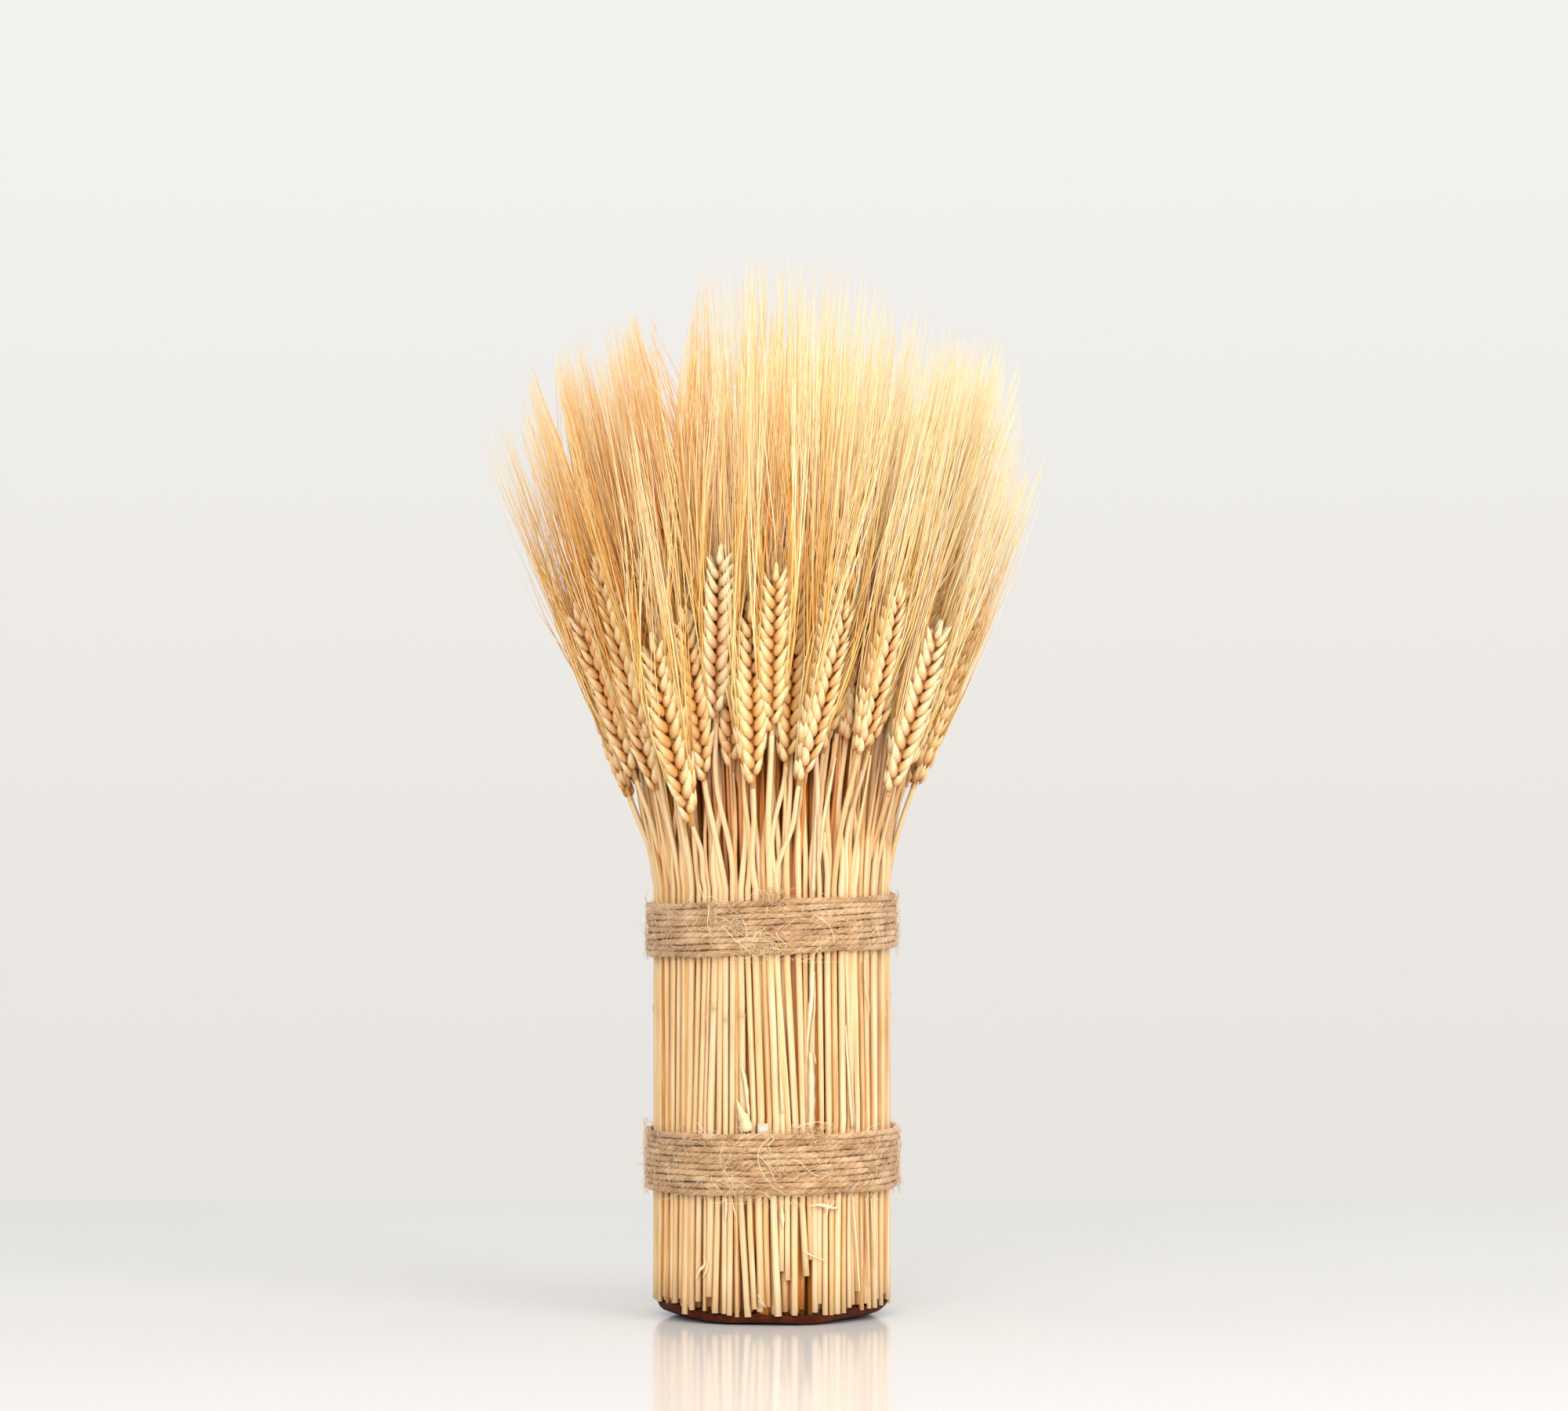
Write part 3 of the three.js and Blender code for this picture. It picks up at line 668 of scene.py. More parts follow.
# The stalks seen at the front from left to right, in pixels of the photo: across at the rows
# FRONT_ROWS, across and down at the foot, and width; then how light and how pink each one is
FRONT_ROWS = (1535, 1440, 1225)
FRONT_STALKS = (
    (836, 836, 836, 836, 1656, 8, 0.2, -0.1),
    (844, 844, 844, 843, 1660, 7, 0.1, 0.0),
    (851, 852, 851, 850, 1654, 7, -0.1, 0.0),
    (858, 859, 860, 857, 1655, 6, 0.1, 0.0),
    (863, 865.5, 867, 862, 1662, 7, 0.3, 0.0),
    (870, 872.5, 873, 869, 1656, 7, -0.4, 0.1),
    (876.5, 880, 883, 875, 1676, 9, 0.3, 0.2),
    (884, 887, 892, 883, 1671, 7.5, -0.1, 0.3),
    (892, 894, 900, 891, 1660, 8, 0.1, 0.2),
    (900, 899.5, 905, 899, 1672, 4.5, -0.5, 0.7),
    (907.5, 906.5, 913, 905, 1654, 10.5, 0.4, -0.2),
    (916, 917.5, 919.5, 912.5, 1675, 8, -0.1, 0.4),
    (925, 926, 926, 924, 1676, 8, 0.5, -0.2),
    (931.5, 934, 934.5, 930.5, 1678, 7.5, 0.0, 0.4),
    (939, 941, 940, 940.5, 1680, 6.5, -0.7, 0.2),
    (945, 948, 945.5, 954, 1680, 9, 0.4, -0.2),
    (955, 962, 954, 962.5, 1670, 7.5, 0.2, 0.0),
    (967, 971.5, 964, 971.5, 1667, 9.5, 0.1, 0.2),
    (976, 982, 974.5, 979.5, 1667, 8, -0.8, 0.1),
    (986.5, 991, 982.5, 992.5, 1679, 9.5, 0.7, -0.1),
    (996.7, 998.5, 992, 997, 1621.7, 6.5, 0.6, 0.0),
    (1004, 1006.5, 990.5, 1004.5, 1633, 7.5, 0.7, 0.0),
    (1013, 1015, 1003.5, 1013.5, 1678, 8.5, 0.5, 0.0),
    (1023, 1024.6, 1018.5, 1028.5, 1627.5, 8.5, 0.6, 0.0),
    (1031.7, 1030, 1027, 1034, 1606.7, 7, 0.1, 0.0),
    (1039, 1035, 1036, 1039.5, 1674, 8, 0.3, 0.9),
    (1045, 1048, 1045, 1044.5, 1663, 7, 0.3, 0.1),
    (1051.7, 1057, 1055, 1052, 1677.5, 8, 0.3, 0.3),
    (1060, 1066, 1063.5, 1060, 1677.5, 7.5, -0.4, 0.0),
    (1068, 1075, 1073, 1067.5, 1676, 9, 0.8, 0.0),
    (1075.4, 1082.5, 1081, 1075, 1675, 7, -0.3, 0.0),
    (1082, 1087.7, 1079, 1083, 1668, 6, 0.6, 0.6),
    (1090, 1094, 1089, 1093.5, 1647, 8, 0.5, 0.3),
    (1097, 1100.5, 1097, 1098, 1671, 7, -0.4, 0.0),
    (1105, 1107, 1103.5, 1107.5, 1669, 6, 0.3, 0.4),
    (1113, 1115, 1113, 1114, 1668, 9, 0.8, 0.2),
    (1123, 1125, 1125, 1124, 1665, 7, 0.3, 0.0),
    (1131, 1132, 1132, 1136, 1662, 7, 0.5, 0.0),
)
FRONT_JOINTS = {0: 1285, 10: 1285, 12: 1300, 15: 1295}  # the row of a joint on some of them
SET_BACK = {14: 1.2, 18: 0.9, 24: 1.0, 30: 0.8, 33: 1.0}  # those that lie deeper than the rest

# Torn sheaths, chips and slivers on the stalks at the front, in pixels of the photo: the points
# of the middle line with the width at each; then how light and how pink, and the height off the
# stalks
SCRAPS = (
    (((1036, 1223, 7), (1036, 1260, 8), (1033, 1300, 7), (1030, 1330, 4),
      (1029, 1355, 1.5)), 0.8, 0.3, 0.3),
    (((1039, 1240, 3), (1039, 1290, 3), (1036, 1320, 2), (1041, 1357, 1.5)), 0.5, 0.6, 0.7),
    (((1034, 1342, 6), (1035, 1360, 10), (1035, 1400, 10.5), (1035, 1442, 10)), 0.6, 1.0, 0.3),
    (((940, 1403, 1.5), (944, 1416, 10), (949, 1430, 18), (952, 1444, 22)), 0.8, 0.1, 0.7),
    (((944, 1356, 1.5), (948, 1368, 6), (951, 1385, 6.5), (953, 1405, 5),
      (956, 1430, 2)), 0.8, 0.4, 0.4),
    (((1079, 1308, 1.5), (1080, 1330, 5), (1083, 1370, 6), (1088, 1440, 5)), 0.9, 0.5, 0.4),
    (((995, 1360, 1), (996, 1378, 4.5), (998, 1420, 3)), 0.8, 0.2, 0.4),
    (((901, 1297, 1.5), (902, 1310, 3.5), (901, 1328, 1)), -0.8, 0.9, 0.5),
    (((1103, 1225, 4), (1104, 1260, 4.5), (1108, 1290, 4), (1107, 1300, 1)), 0.7, 0.4, 0.5),
    (((887, 1633, 1), (891, 1622, 4.5), (899, 1610, 5), (898, 1603, 1)), 1.0, 0.0, 1.2),
    (((896, 1630, 1), (901, 1618, 4), (902, 1609, 2)), 1.0, 0.0, 1.0),
    (((1070, 1540, 2), (1062, 1541, 4), (1055, 1539, 7), (1045, 1537, 3),
      (1031, 1539, 0.6)), 1.6, 0.0, 1.3),
    (((1057, 1529, 1), (1056, 1538, 4), (1054, 1552, 0.6)), 1.6, 0.0, 1.0),
    (((1064, 1532, 1), (1060, 1538, 3), (1052, 1543, 0.6)), 1.6, 0.0, 1.6),
    (((1024, 1595, 1), (1034, 1601, 2.2), (1044, 1605, 2), (1054, 1609, 0.6)), 1.2, 0.0, 1.1),
    (((1088, 1526, 4), (1090, 1560, 5), (1094, 1610, 4.5), (1096, 1648, 4)), 1.0, 0.5, 0.5),
    (((1098, 1528, 3), (1100, 1570, 3), (1100, 1620, 1.5)), 0.4, 0.6, 0.6),
    (((1104, 1528, 3), (1107, 1580, 4), (1109, 1640, 2)), 0.2, 0.7, 0.5),
    (((1110, 1528, 2.5), (1112, 1560, 3), (1118, 1620, 1)), 0.6, 0.4, 0.6),
    (((997, 1540, 4), (998, 1556, 7), (999, 1567, 1.5)), 1.0, 0.1, 0.5),
    (((926, 1529, 5), (926, 1545, 5), (925, 1558, 2)), 0.9, 0.3, 0.5),
    (((934, 1530, 1), (937, 1545, 2.5), (940, 1556, 0.8)), 0.9, 0.2, 0.6),
    (((1097, 1622, 1.5), (1099, 1630, 3.5), (1098, 1641, 1)), -1.2, 0.3, 0.9),
    (((966, 1652, 1), (971, 1660, 1.4), (977, 1669, 0.5)), 1.0, 0.0, 0.8),
    (((967, 1659, 1), (971, 1663, 1.2), (976, 1665, 0.5)), 0.8, 0.0, 1.0),
    (((968, 1650, 1), (970, 1656, 1.4), (971, 1662, 0.5)), 0.8, 0.0, 0.8),
    (((1066, 966, 1.5), (1058, 1010, 6), (1050, 1050, 5), (1046, 1100, 3)), 0.6, 0.3, 4.0),
    (((1041, 1040, 3), (1039, 1090, 6), (1037, 1140, 6)), 0.4, 0.9, 1.2),
    (((1046, 1052, 1), (1052, 1066, 3), (1054, 1080, 0.6)), 1.0, 0.1, 3.0),
    (((1133, 1222, 0.9), (1135, 1260, 0.8), (1140, 1304, 0.5)), 0.0, 0.4, 0.8),
)
SCRAP_POINTS = 14
SCRAP_THICKNESS = 0.07
SCRAP_RAGGED = 0.12  # how uneven their edges are


def front_stalks():
    """The stalks of FRONT_STALKS by the node nearest to each: knots of height, azimuth and
    distance, radius, tone, hue and joint."""
    found = {}
    for number, row in enumerate(FRONT_STALKS):
        across, (foot_x, foot_y, width, tone, hue) = row[:3], row[3:]
        radius = width / 2 / PIXELS
        back = SKIN - radius - SET_BACK.get(number, 0.25 + 0.25 * draw(number, STALK_DEPTH))
        azimuth, height = at_pixel(foot_x, foot_y, back)
        knots = [(height, azimuth, back + 0.3 * draw(number, FOOT_DEPTH))]
        for x, y in zip(across, FRONT_ROWS):
            azimuth, height = at_pixel(x, y, back)
            knots.append((height, azimuth, back))
        knots.append((NECK_HEIGHT, azimuth, back))
        joint = FRONT_JOINTS.get(number)
        joint = at_pixel(across[2], joint, back)[1] if joint else None
        node = round(knots[2][1] / TURN * OUTER_STEMS)
        found.setdefault(node, []).append((knots, radius, tone, hue, joint))
    return found


BY_NODE = front_stalks()


def scraps(shape, relative):
    """The scraps nearest to one node, in that node's own frame."""
    angle = relative / OUTER_STEMS * TURN
    for line, tone, hue, lift in SCRAPS:
        places = [at_pixel(x, y, SKIN + lift) for x, y, _ in line]
        first = places[0][1]
        if round(places[0][0] / TURN * OUTER_STEMS) != relative:
            continue
        knots = [
            (a * 100, z, lift + 0.25 * math.sin(2.7 * i + z)) for i, (a, z) in enumerate(places)
        ]
        path = curve(knots, SCRAP_POINTS)
        azimuth = path[:, 0] / 100 - angle
        points = around(SKIN + path[:, 2], azimuth, path[:, 1])
        at = np.linspace(0, 1, SCRAP_POINTS)
        half = np.interp(at, np.linspace(0, 1, len(line)), [width for *_, width in line])
        ragged = 1 + SCRAP_RAGGED * np.sin(1.7 * np.arange(SCRAP_POINTS) + first)
        half = half * ragged / 2 / PIXELS
        tangent = unit(np.gradient(points, axis=0))
        flat = unit(np.cross(tangent, around(1, azimuth, 0)))
        thick = np.full(SCRAP_POINTS, SCRAP_THICKNESS)
        radii = np.stack([half, thick, half, thick], -1)
        tubes(shape, SHEATH, points, radii[None], 4, (tone, hue, 0), flat[None], shift=37 * first)


def in_frame(knots, angle):
    """Knots of height, azimuth and distance as (height, x, distance forwards) in a node's frame."""
    return [(z, back * math.sin(a - angle), back * math.cos(a - angle)) for z, a, back in knots]


def random_stalk(rng, index, x, deeper):
    """One stalk of a node where the photo shows none: knots in the node's frame, radius,
    joint, and no tone or hue of its own."""
    radius = rng.uniform(0.95, 1.5)
    back = SKIN - radius - rng.uniform(0, 0.8) - deeper
    drift = rng.normal(0, 0.55, 3) * np.array([2.0, 1.0, 0.9])
    if rng.uniform() < 0.3:
        drift[1] += rng.choice([-1, 1]) * rng.uniform(1.0, 2.4)
    lift = side_lift(index / OUTER_STEMS * TURN) + abs(rng.normal(0, 0.9))
    if rng.uniform() < 0.08:
        lift += rng.uniform(3, 16)
    knots = [
        (COLUMN_FOOT - 0.5 + lift, x + drift[0] + drift[1], back + rng.uniform(-0.4, 0.4)),
        (LOWER_TIE, x + drift[1], back),
        ((LOWER_TIE + UPPER_TIE) / 2, x + (drift[1] + drift[2]) / 2, back + rng.uniform(-0.5, 0.4)),
        (UPPER_TIE, x + drift[2], back),
        (NECK_HEIGHT, x + drift[2], back),
    ]
    joint = rng.uniform(80, 128) if rng.uniform() < 0.2 else None
    return knots, radius, None, None, joint


NODE_STALKS = 3
NODE_STALK_SPACING = 2.3
BACK_STALKS = (39.4, 40.6)  # distances from the axis of the stalks in the second layer
BACK_TOP = 0.3  # their radius at the top


def side_ear(rng, index, relative, which, side):
    """Where a further ear of an outer node stands: foot, direction and roll."""
    if which == 1 and relative in SECOND_EARS:
        azimuth, out, height, lean, turn = SECOND_EARS[relative]
    elif which == 2 and relative in THIRD_EARS:
        azimuth, out, height, lean, turn, side = THIRD_EARS[relative]
    else:
        low = index % 2
        azimuth = rng.uniform(-3, 3)
        out = rng.uniform(45, 52) if low else rng.uniform(37, 45)
        height = rng.uniform(200, 226) if low else rng.uniform(216, 233)
        lean = (out * 1.05 - 36 if low else out * 0.8 - 22) + rng.uniform(-1.5, 1.5)
        turn = rng.uniform(-60, 60)
    azimuth, lean = math.radians(azimuth), math.radians(lean)
    foot = np.array([out * math.sin(azimuth), -out * math.cos(azimuth), height])
    way = turned(direction_of(lean, math.radians(side)), azimuth)
    return foot, way, math.radians(turn)


def outer_stem(shape, index):
    """The stalks, necks, ears and awns of one outer node, in that node's own frame."""
    rng = np.random.default_rng(OUTER_SEED + index)
    relative = (index + OUTER_STEMS // 2) % OUTER_STEMS - OUTER_STEMS // 2
    angle = relative / OUTER_STEMS * TURN
    carrier = (0.5 if draw(index, CARRIER_SIDE) > 0 else -0.5) * STALK_SPACING
    foot, direction, roll = place_of(index, HIGH_ROW if index % 2 else LOW_ROW, relative)
    shift, tilt, longer, sweep = EAR_SHIFTS.get(relative, UNMOVED)
    foot = foot + np.array(shift)
    direction = unit(direction + ACROSS * math.tan(math.radians(tilt)))
    tones = EAR_TONES.get(relative, (rng.normal(0, 0.3), rng.normal(0, 0.25)))
    leftward = 0.5 - 0.5 * math.sin(angle)
    flare = math.radians(FLARE_RIGHT + (FLARE_LEFT - FLARE_RIGHT) * leftward**1.5)
    stalks = [(in_frame(knots, angle), *rest) for knots, *rest in BY_NODE.get(relative, ())]
    seen = len(stalks)
    while len(stalks) < NODE_STALKS:
        x = (len(stalks) - 1) * NODE_STALK_SPACING + rng.uniform(-0.4, 0.4)
        stalks.append(random_stalk(rng, index, x, 1.6 if seen else 0.0))
    stalks.sort(key=lambda one: abs(one[0][-1][1] - carrier))
    for which, (knots, radius, tone, hue, joint) in enumerate(stalks):
        side = rng.uniform(-2, 2)
        own_tones = rng.normal(0, 0.35), rng.normal(0, 0.3)
        if which == 0:
            place, own_tones = (foot, direction, roll), tones
        else:
            place = side_ear(rng, index, relative, which, side)
        start = np.array([knots[-1][1], -knots[-1][2], NECK_HEIGHT])
        top_radius = min(radius, rng.uniform(0.85, 1.15))
        neck = neck_curve(start, *place[:2], flare=flare, bow=rng.normal(0, 1, 2) * NECK_BOW)
        stalk(shape, rng, knots[0][0], knots, radius, top_radius, neck, joint, tone, hue)
        if which < 2 or which == 2 and relative in THIRD_EARS:
            size = rng.uniform(0.99, 1.07) * (longer if which == 0 else 1)
            # painted light and shade: ears nearer the axis are darker, ears further out and those
            # at the right paler
            depth = float(np.interp(-place[0][1], (44, 53), (0.3, -0.5)))
            painted_light_and_shade = 0.6 * math.sin(angle) * (angle > 0) - 0.35 * max(depth, 0)
            ear(shape, rng, *place, own_tones[0] + painted_light_and_shade, own_tones[1], size, angle,
                depth=depth, sweep=sweep if which == 0 else 0)
    # stalks in the second layer, which fill the gaps and end among the necks; painted shade: they
    # are toned darker, and some take the copy of the straw with painted shade
    places = [rng.uniform(-3.0, -1.8), rng.uniform(-0.6, 0.6), rng.uniform(1.8, 3.0)]
    if abs(math.sin(angle)) > 0.7:
        places += [rng.uniform(-2.0, 0.0), rng.uniform(0.0, 2.0)]
    for number, x in enumerate(places):
        radius = rng.uniform(1.15, 1.4)
        back = rng.uniform(*BACK_STALKS)
        top, out = rng.uniform(214, 236), rng.uniform(1, 11)
        if number > 2:
            back, top, out = back + 2.5, rng.uniform(210, 220), rng.uniform(8.5, 11)
        foot_x = x + rng.normal(0, 0.8)
        lift = side_lift(angle) + rng.uniform(0, 2.5)
        knots = [(0, foot_x, back), (LOWER_TIE, x, back), (NECK_HEIGHT, x, back)]
        way = direction_of(math.radians(rng.uniform(4, 14)), math.radians(rng.uniform(-4, 4)))
        start, end = np.array([x, -back, NECK_HEIGHT]), np.array([x * 1.2, -back - out, top])
        neck = neck_curve(start, end, way, 6, flare)
        tone = rng.uniform(-1.6, 0.3)
        finish = STRAW if number > 2 or rng.uniform() < 0.5 else INNER
        stalk(shape, rng, COLUMN_FOOT + lift, knots, radius, BACK_TOP, neck, None, tone,
              finish=finish)
    scraps(shape, relative)


# Materials
def srgb(colour):
    """The linear colour for three numbers of 0 to 255."""
    linear = (((c / 255 + 0.055) / 1.055) ** 2.4 if c > 10 else c / 255 / 12.92 for c in colour)
    return (*linear, 1.0)


class Nodes:
    """The nodes of a material or the world. Colours are given as three numbers of 0 to 255."""

    def __init__(self, owner):
        self.owner = owner
        owner.use_nodes = True
        self.tree = owner.node_tree
        self.tree.nodes.clear()

    def add(self, kind, inputs=(), **settings):
        node = self.tree.nodes.new(kind)
        for key, value in settings.items():
            setattr(node, key, value)
        for key, value in dict(inputs).items():
            if isinstance(value, bpy.types.NodeSocket):
                self.tree.links.new(value, node.inputs[key])
            else:
                node.inputs[key].default_value = value
        return node

    def attribute(self, name):
        return self.add("ShaderNodeAttribute", attribute_name=name).outputs["Vector"]

    def parts(self, vector):
        return self.add("ShaderNodeSeparateXYZ", {0: vector}).outputs

    def stretched(self, vector, scale):
        given = {0: vector, 1: scale}
        return self.add("ShaderNodeVectorMath", given, operation="MULTIPLY").outputs[0]

    def noise(self, vector, scale, detail=3.0, roughness=0.55):
        given = {"Vector": vector, "Scale": scale, "Detail": detail, "Roughness": roughness}
        return self.add("ShaderNodeTexNoise", given).outputs[0]

    def math(self, operation, *values, clamp=False):
        given = dict(enumerate(values))
        node = self.add("ShaderNodeMath", given, operation=operation, use_clamp=clamp)
        return node.outputs[0]

    def ramp(self, share, *stops):
        node = self.add("ShaderNodeValToRGB", {0: share})
        elements = node.color_ramp.elements
        while len(elements) < len(stops):
            elements.new(0.5)
        for element, (position, colour) in zip(elements, stops):
            element.position = position
            element.color = srgb(colour)
        return node.outputs[0]

    def range(self, value, low, high, to_low=0.0, to_high=1.0):
        given = {0: value, 1: low, 2: high, 3: to_low, 4: to_high}
        return self.add("ShaderNodeMapRange", given).outputs[0]

    def mix(self, share, first, colour):
        given = {0: share, 6: first, 7: srgb(colour)}
        return self.add("ShaderNodeMix", given, data_type="RGBA").outputs[2]

    def bump(self, height, distance, strength=1.0):
        given = {"Height": height, "Distance": distance, "Strength": strength}
        return self.add("ShaderNodeBump", given).outputs[0]

    def finish(self, colour, roughness, specular, normal=None, sheen=None):
        """The material with this surface. `sheen` is its weight and its roughness."""
        given = {"Base Color": colour, "Roughness": roughness, "Specular IOR Level": specular}
        if normal is not None:
            given["Normal"] = normal
        if sheen:
            given["Sheen Weight"], given["Sheen Roughness"] = sheen
        shader = self.add("ShaderNodeBsdfPrincipled", given)
        self.add("ShaderNodeOutputMaterial", {0: shader.outputs[0]})
        return self.owner


def dried(name, tones, veining, ageing, rough, bump, specular, root=None, margin=None):
    """A dried plant surface with lengthwise veins and blotches, toned by the `look` attribute
    from dark through middle to pale. `veining` is the scale of the veins across and along, and
    `ageing` the aged colour and where it starts and is full. `root` and `margin` are painted
    shade, where it has them: `root` colours the foot end, which the parts around it shade, and
    `margin` the edges, where husks overlap."""
    m = Nodes(bpy.data.materials.new(name))
    grain = m.attribute("grain")
    tone, hue, aged = m.parts(m.attribute("look"))[:3]
    fine, along = veining
    aged_colour, aged_low, aged_high = ageing
    veins = m.noise(m.stretched(grain, (fine, fine, along)), 1.0, 4.0, 0.6)
    blotches = m.noise(m.stretched(grain, (0.25, 0.25, 0.035)), 1.0, 3.0)
    share = m.math("MULTIPLY_ADD", tone, 0.26, 0.5)
    share = m.math("ADD", share, m.range(blotches, 0.3, 0.7, -0.2, 0.2))
    share = m.math("ADD", share, m.range(veins, 0.3, 0.7, -0.22, 0.22), clamp=True)
    colour = m.ramp(share, *zip((0.0, 0.5, 1.0), tones))
    colour = m.mix(m.range(hue, 0.0, -1.0, 0.0, 0.55), colour, (214, 212, 186))
    colour = m.mix(m.range(hue, 0.0, 1.0, 0.0, 0.5), colour, (232, 196, 170))
    # painted shade at the foot end, which the parts around it shade
    if root:
        colour = m.mix(m.range(aged, 0.0, 0.55, 0.8, 0.0), colour, root)
    colour = m.mix(m.range(aged, aged_low, aged_high, 0.0, 0.6), colour, aged_colour)
    # painted shade at the edges, where husks overlap
    if margin:
        away = m.math("ABSOLUTE", m.parts(grain)[0])
        colour = m.mix(m.range(away, 0.8, 2.2, 0.0, 0.85), colour, margin)
    roughness = m.range(veins, 0.2, 0.8, rough - 0.1, rough + 0.1)
    return m.finish(colour, roughness, specular, m.bump(veins, bump, 0.6))


def twine_material():
    m = Nodes(bpy.data.materials.new("jute_twine"))
    grain = m.attribute("grain")
    tone = m.parts(m.attribute("look"))[0]
    fibres = m.noise(m.stretched(grain, (3.2, 3.2, 0.35)), 1.0, 5.0, 0.65)
    mottle = m.noise(m.stretched(grain, (0.3, 0.3, 0.09)), 1.0, 3.0)
    share = m.math("ADD", m.range(fibres, 0.3, 0.7, 0.0, 0.6), m.range(mottle, 0.3, 0.7, 0.0, 0.4))
    share = m.math("ADD", share, m.math("MULTIPLY", tone, 0.15))
    # painted shade: the twine is darker in the grooves between its plies
    place = m.parts(grain)
    ridge = m.add("ShaderNodeCombineXYZ", {0: place[0], 1: place[1]}).outputs[0]
    ridge = m.add("ShaderNodeVectorMath", {0: ridge}, operation="LENGTH").outputs["Value"]
    share = m.math("ADD", share, m.range(ridge, 0.9, 1.2, -0.22, 0.06), clamp=True)
    colour = m.ramp(share, (0.0, (134, 88, 50)), (0.5, (199, 158, 113)), (1.0, (234, 205, 167)))
    return m.finish(colour, 0.9, 0.15, m.bump(fibres, 0.0004, 0.8), (0.25, 0.6))


def hair_material():
    m = Nodes(bpy.data.materials.new("jute_hair"))
    tone = m.parts(m.attribute("look"))[0]
    along = m.noise(m.stretched(m.attribute("grain"), (1, 1, 0.2)), 1.0, 2.0)
    share = m.math("ADD", m.math("MULTIPLY", tone, 0.5), along, clamp=True)
    colour = m.ramp(share, (0.0, (190, 140, 88)), (0.5, (232, 196, 148)), (1.0, (252, 236, 204)))
    return m.finish(colour, 0.6, 0.3)


def felt_material():
    m = Nodes(bpy.data.materials.new("felt"))
    grain = m.attribute("grain")
    fibres = m.noise(m.stretched(grain, (1.6, 1.6, 2.2)), 1.0, 6.0, 0.7)
    cloud = m.noise(grain, 0.16, 3.0)
    fibrous, cloudy = m.range(fibres, 0.3, 0.7, 0.0, 0.7), m.range(cloud, 0.3, 0.7, 0.0, 0.3)
    share = m.math("ADD", fibrous, cloudy, clamp=True)
    colour = m.ramp(share, (0.0, (34, 9, 3)), (0.55, (74, 26, 12)), (1.0, (122, 54, 30)))
    return m.finish(colour, 0.95, 0.05, m.bump(fibres, 0.0005, 0.9), (0.05, 0.5))


def tape_material():
    m = Nodes(bpy.data.materials.new("tape"))
    cloud = m.noise(m.stretched(m.attribute("grain"), (0.6, 0.6, 0.2)), 1.0, 3.0)
    colour = m.ramp(cloud, (0.3, (172, 160, 140)), (0.7, (204, 194, 174)))
    return m.finish(colour, 0.3, 0.5)


def floor_material():
    m = Nodes(bpy.data.materials.new("floor"))
    cloud = m.noise(m.add("ShaderNodeTexCoord").outputs["Object"], 1.6, 3.0)
    colour = m.ramp(cloud, (0.3, (227, 227, 227)), (0.7, (231, 231, 231)))
    return m.finish(colour, m.range(cloud, 0.3, 0.7, 0.09, 0.14), 0.13)


MATERIALS = {
    "straw": dried(
        "straw", ((182, 120, 58), (223, 185, 130), (237, 213, 175)), (2.2, 0.02),
        ((160, 128, 70), 0.0, 1.0), 0.55, 0.00012, 0.3,
    ),
    # a copy of the straw with painted shade, darker and more orange, for the stalks that lie deep
    # in the sheaf
    "inner_straw": dried(
        "inner_straw", ((158, 86, 22), (210, 134, 52), (236, 178, 98)), (2.2, 0.02),
        ((150, 100, 44), 0.0, 1.0), 0.55, 0.00012, 0.3,
    ),
    # husk: its root and margin colours are painted shade at the foot and at the edges where husks
    # overlap
    "husk": dried(
        "husk", ((212, 162, 90), (230, 194, 130), (238, 212, 162)), (2.6, 0.12),
        ((246, 226, 186), 0.35, 1.05), 0.5, 0.0001, 0.2, (192, 116, 38), (192, 118, 40),
    ),
    # awn: its root colour is painted shade, warm orange near the ear where the awns shade one
    # another, and its saturated orange dark stop serves both darker awns and the painted shade
    "awn": dried(
        "awn", ((240, 138, 12), (255, 216, 129), (255, 244, 214)), (4.0, 0.05),
        ((240, 215, 170), 0.4, 1.1), 0.6, 0.00004, 0.1, (255, 201, 106),
    ),
    "sheath": dried(
        "sheath", ((198, 132, 76), (236, 196, 142), (251, 230, 188)), (3.0, 0.04),
        ((190, 150, 100), 0.2, 1.0), 0.6, 0.00015, 0.2,
    ),
    "twine": twine_material(),
    "hair": hair_material(),
    "felt": felt_material(),
    "tape": tape_material(),
    "floor": floor_material(),
}
STEM_MATERIALS = ("straw", "husk", "awn", "sheath", "inner_straw")
# the inner pieces take the straw with painted shade
INNER_MATERIALS = ("inner_straw", "husk", "awn", "sheath")


# Camera, light and floor
LIGHTS = (  # name, place, what it is aimed at, width, height, power and colour
    ("key", (1.3, -1.4, 0.95), (0, 0, 0.25), 1.3, 1.3, 27, (1.0, 0.97, 0.92)),
    ("front", (-0.4, -2.1, 1.1), (0, 0, 0.2), 1.6, 1.2, 33, (1.0, 0.98, 0.95)),
    ("top", (0.1, 0.4, 1.7), (0, 0.2, 0), 1.4, 1.4, 4, (1.0, 1.0, 1.0)),
)


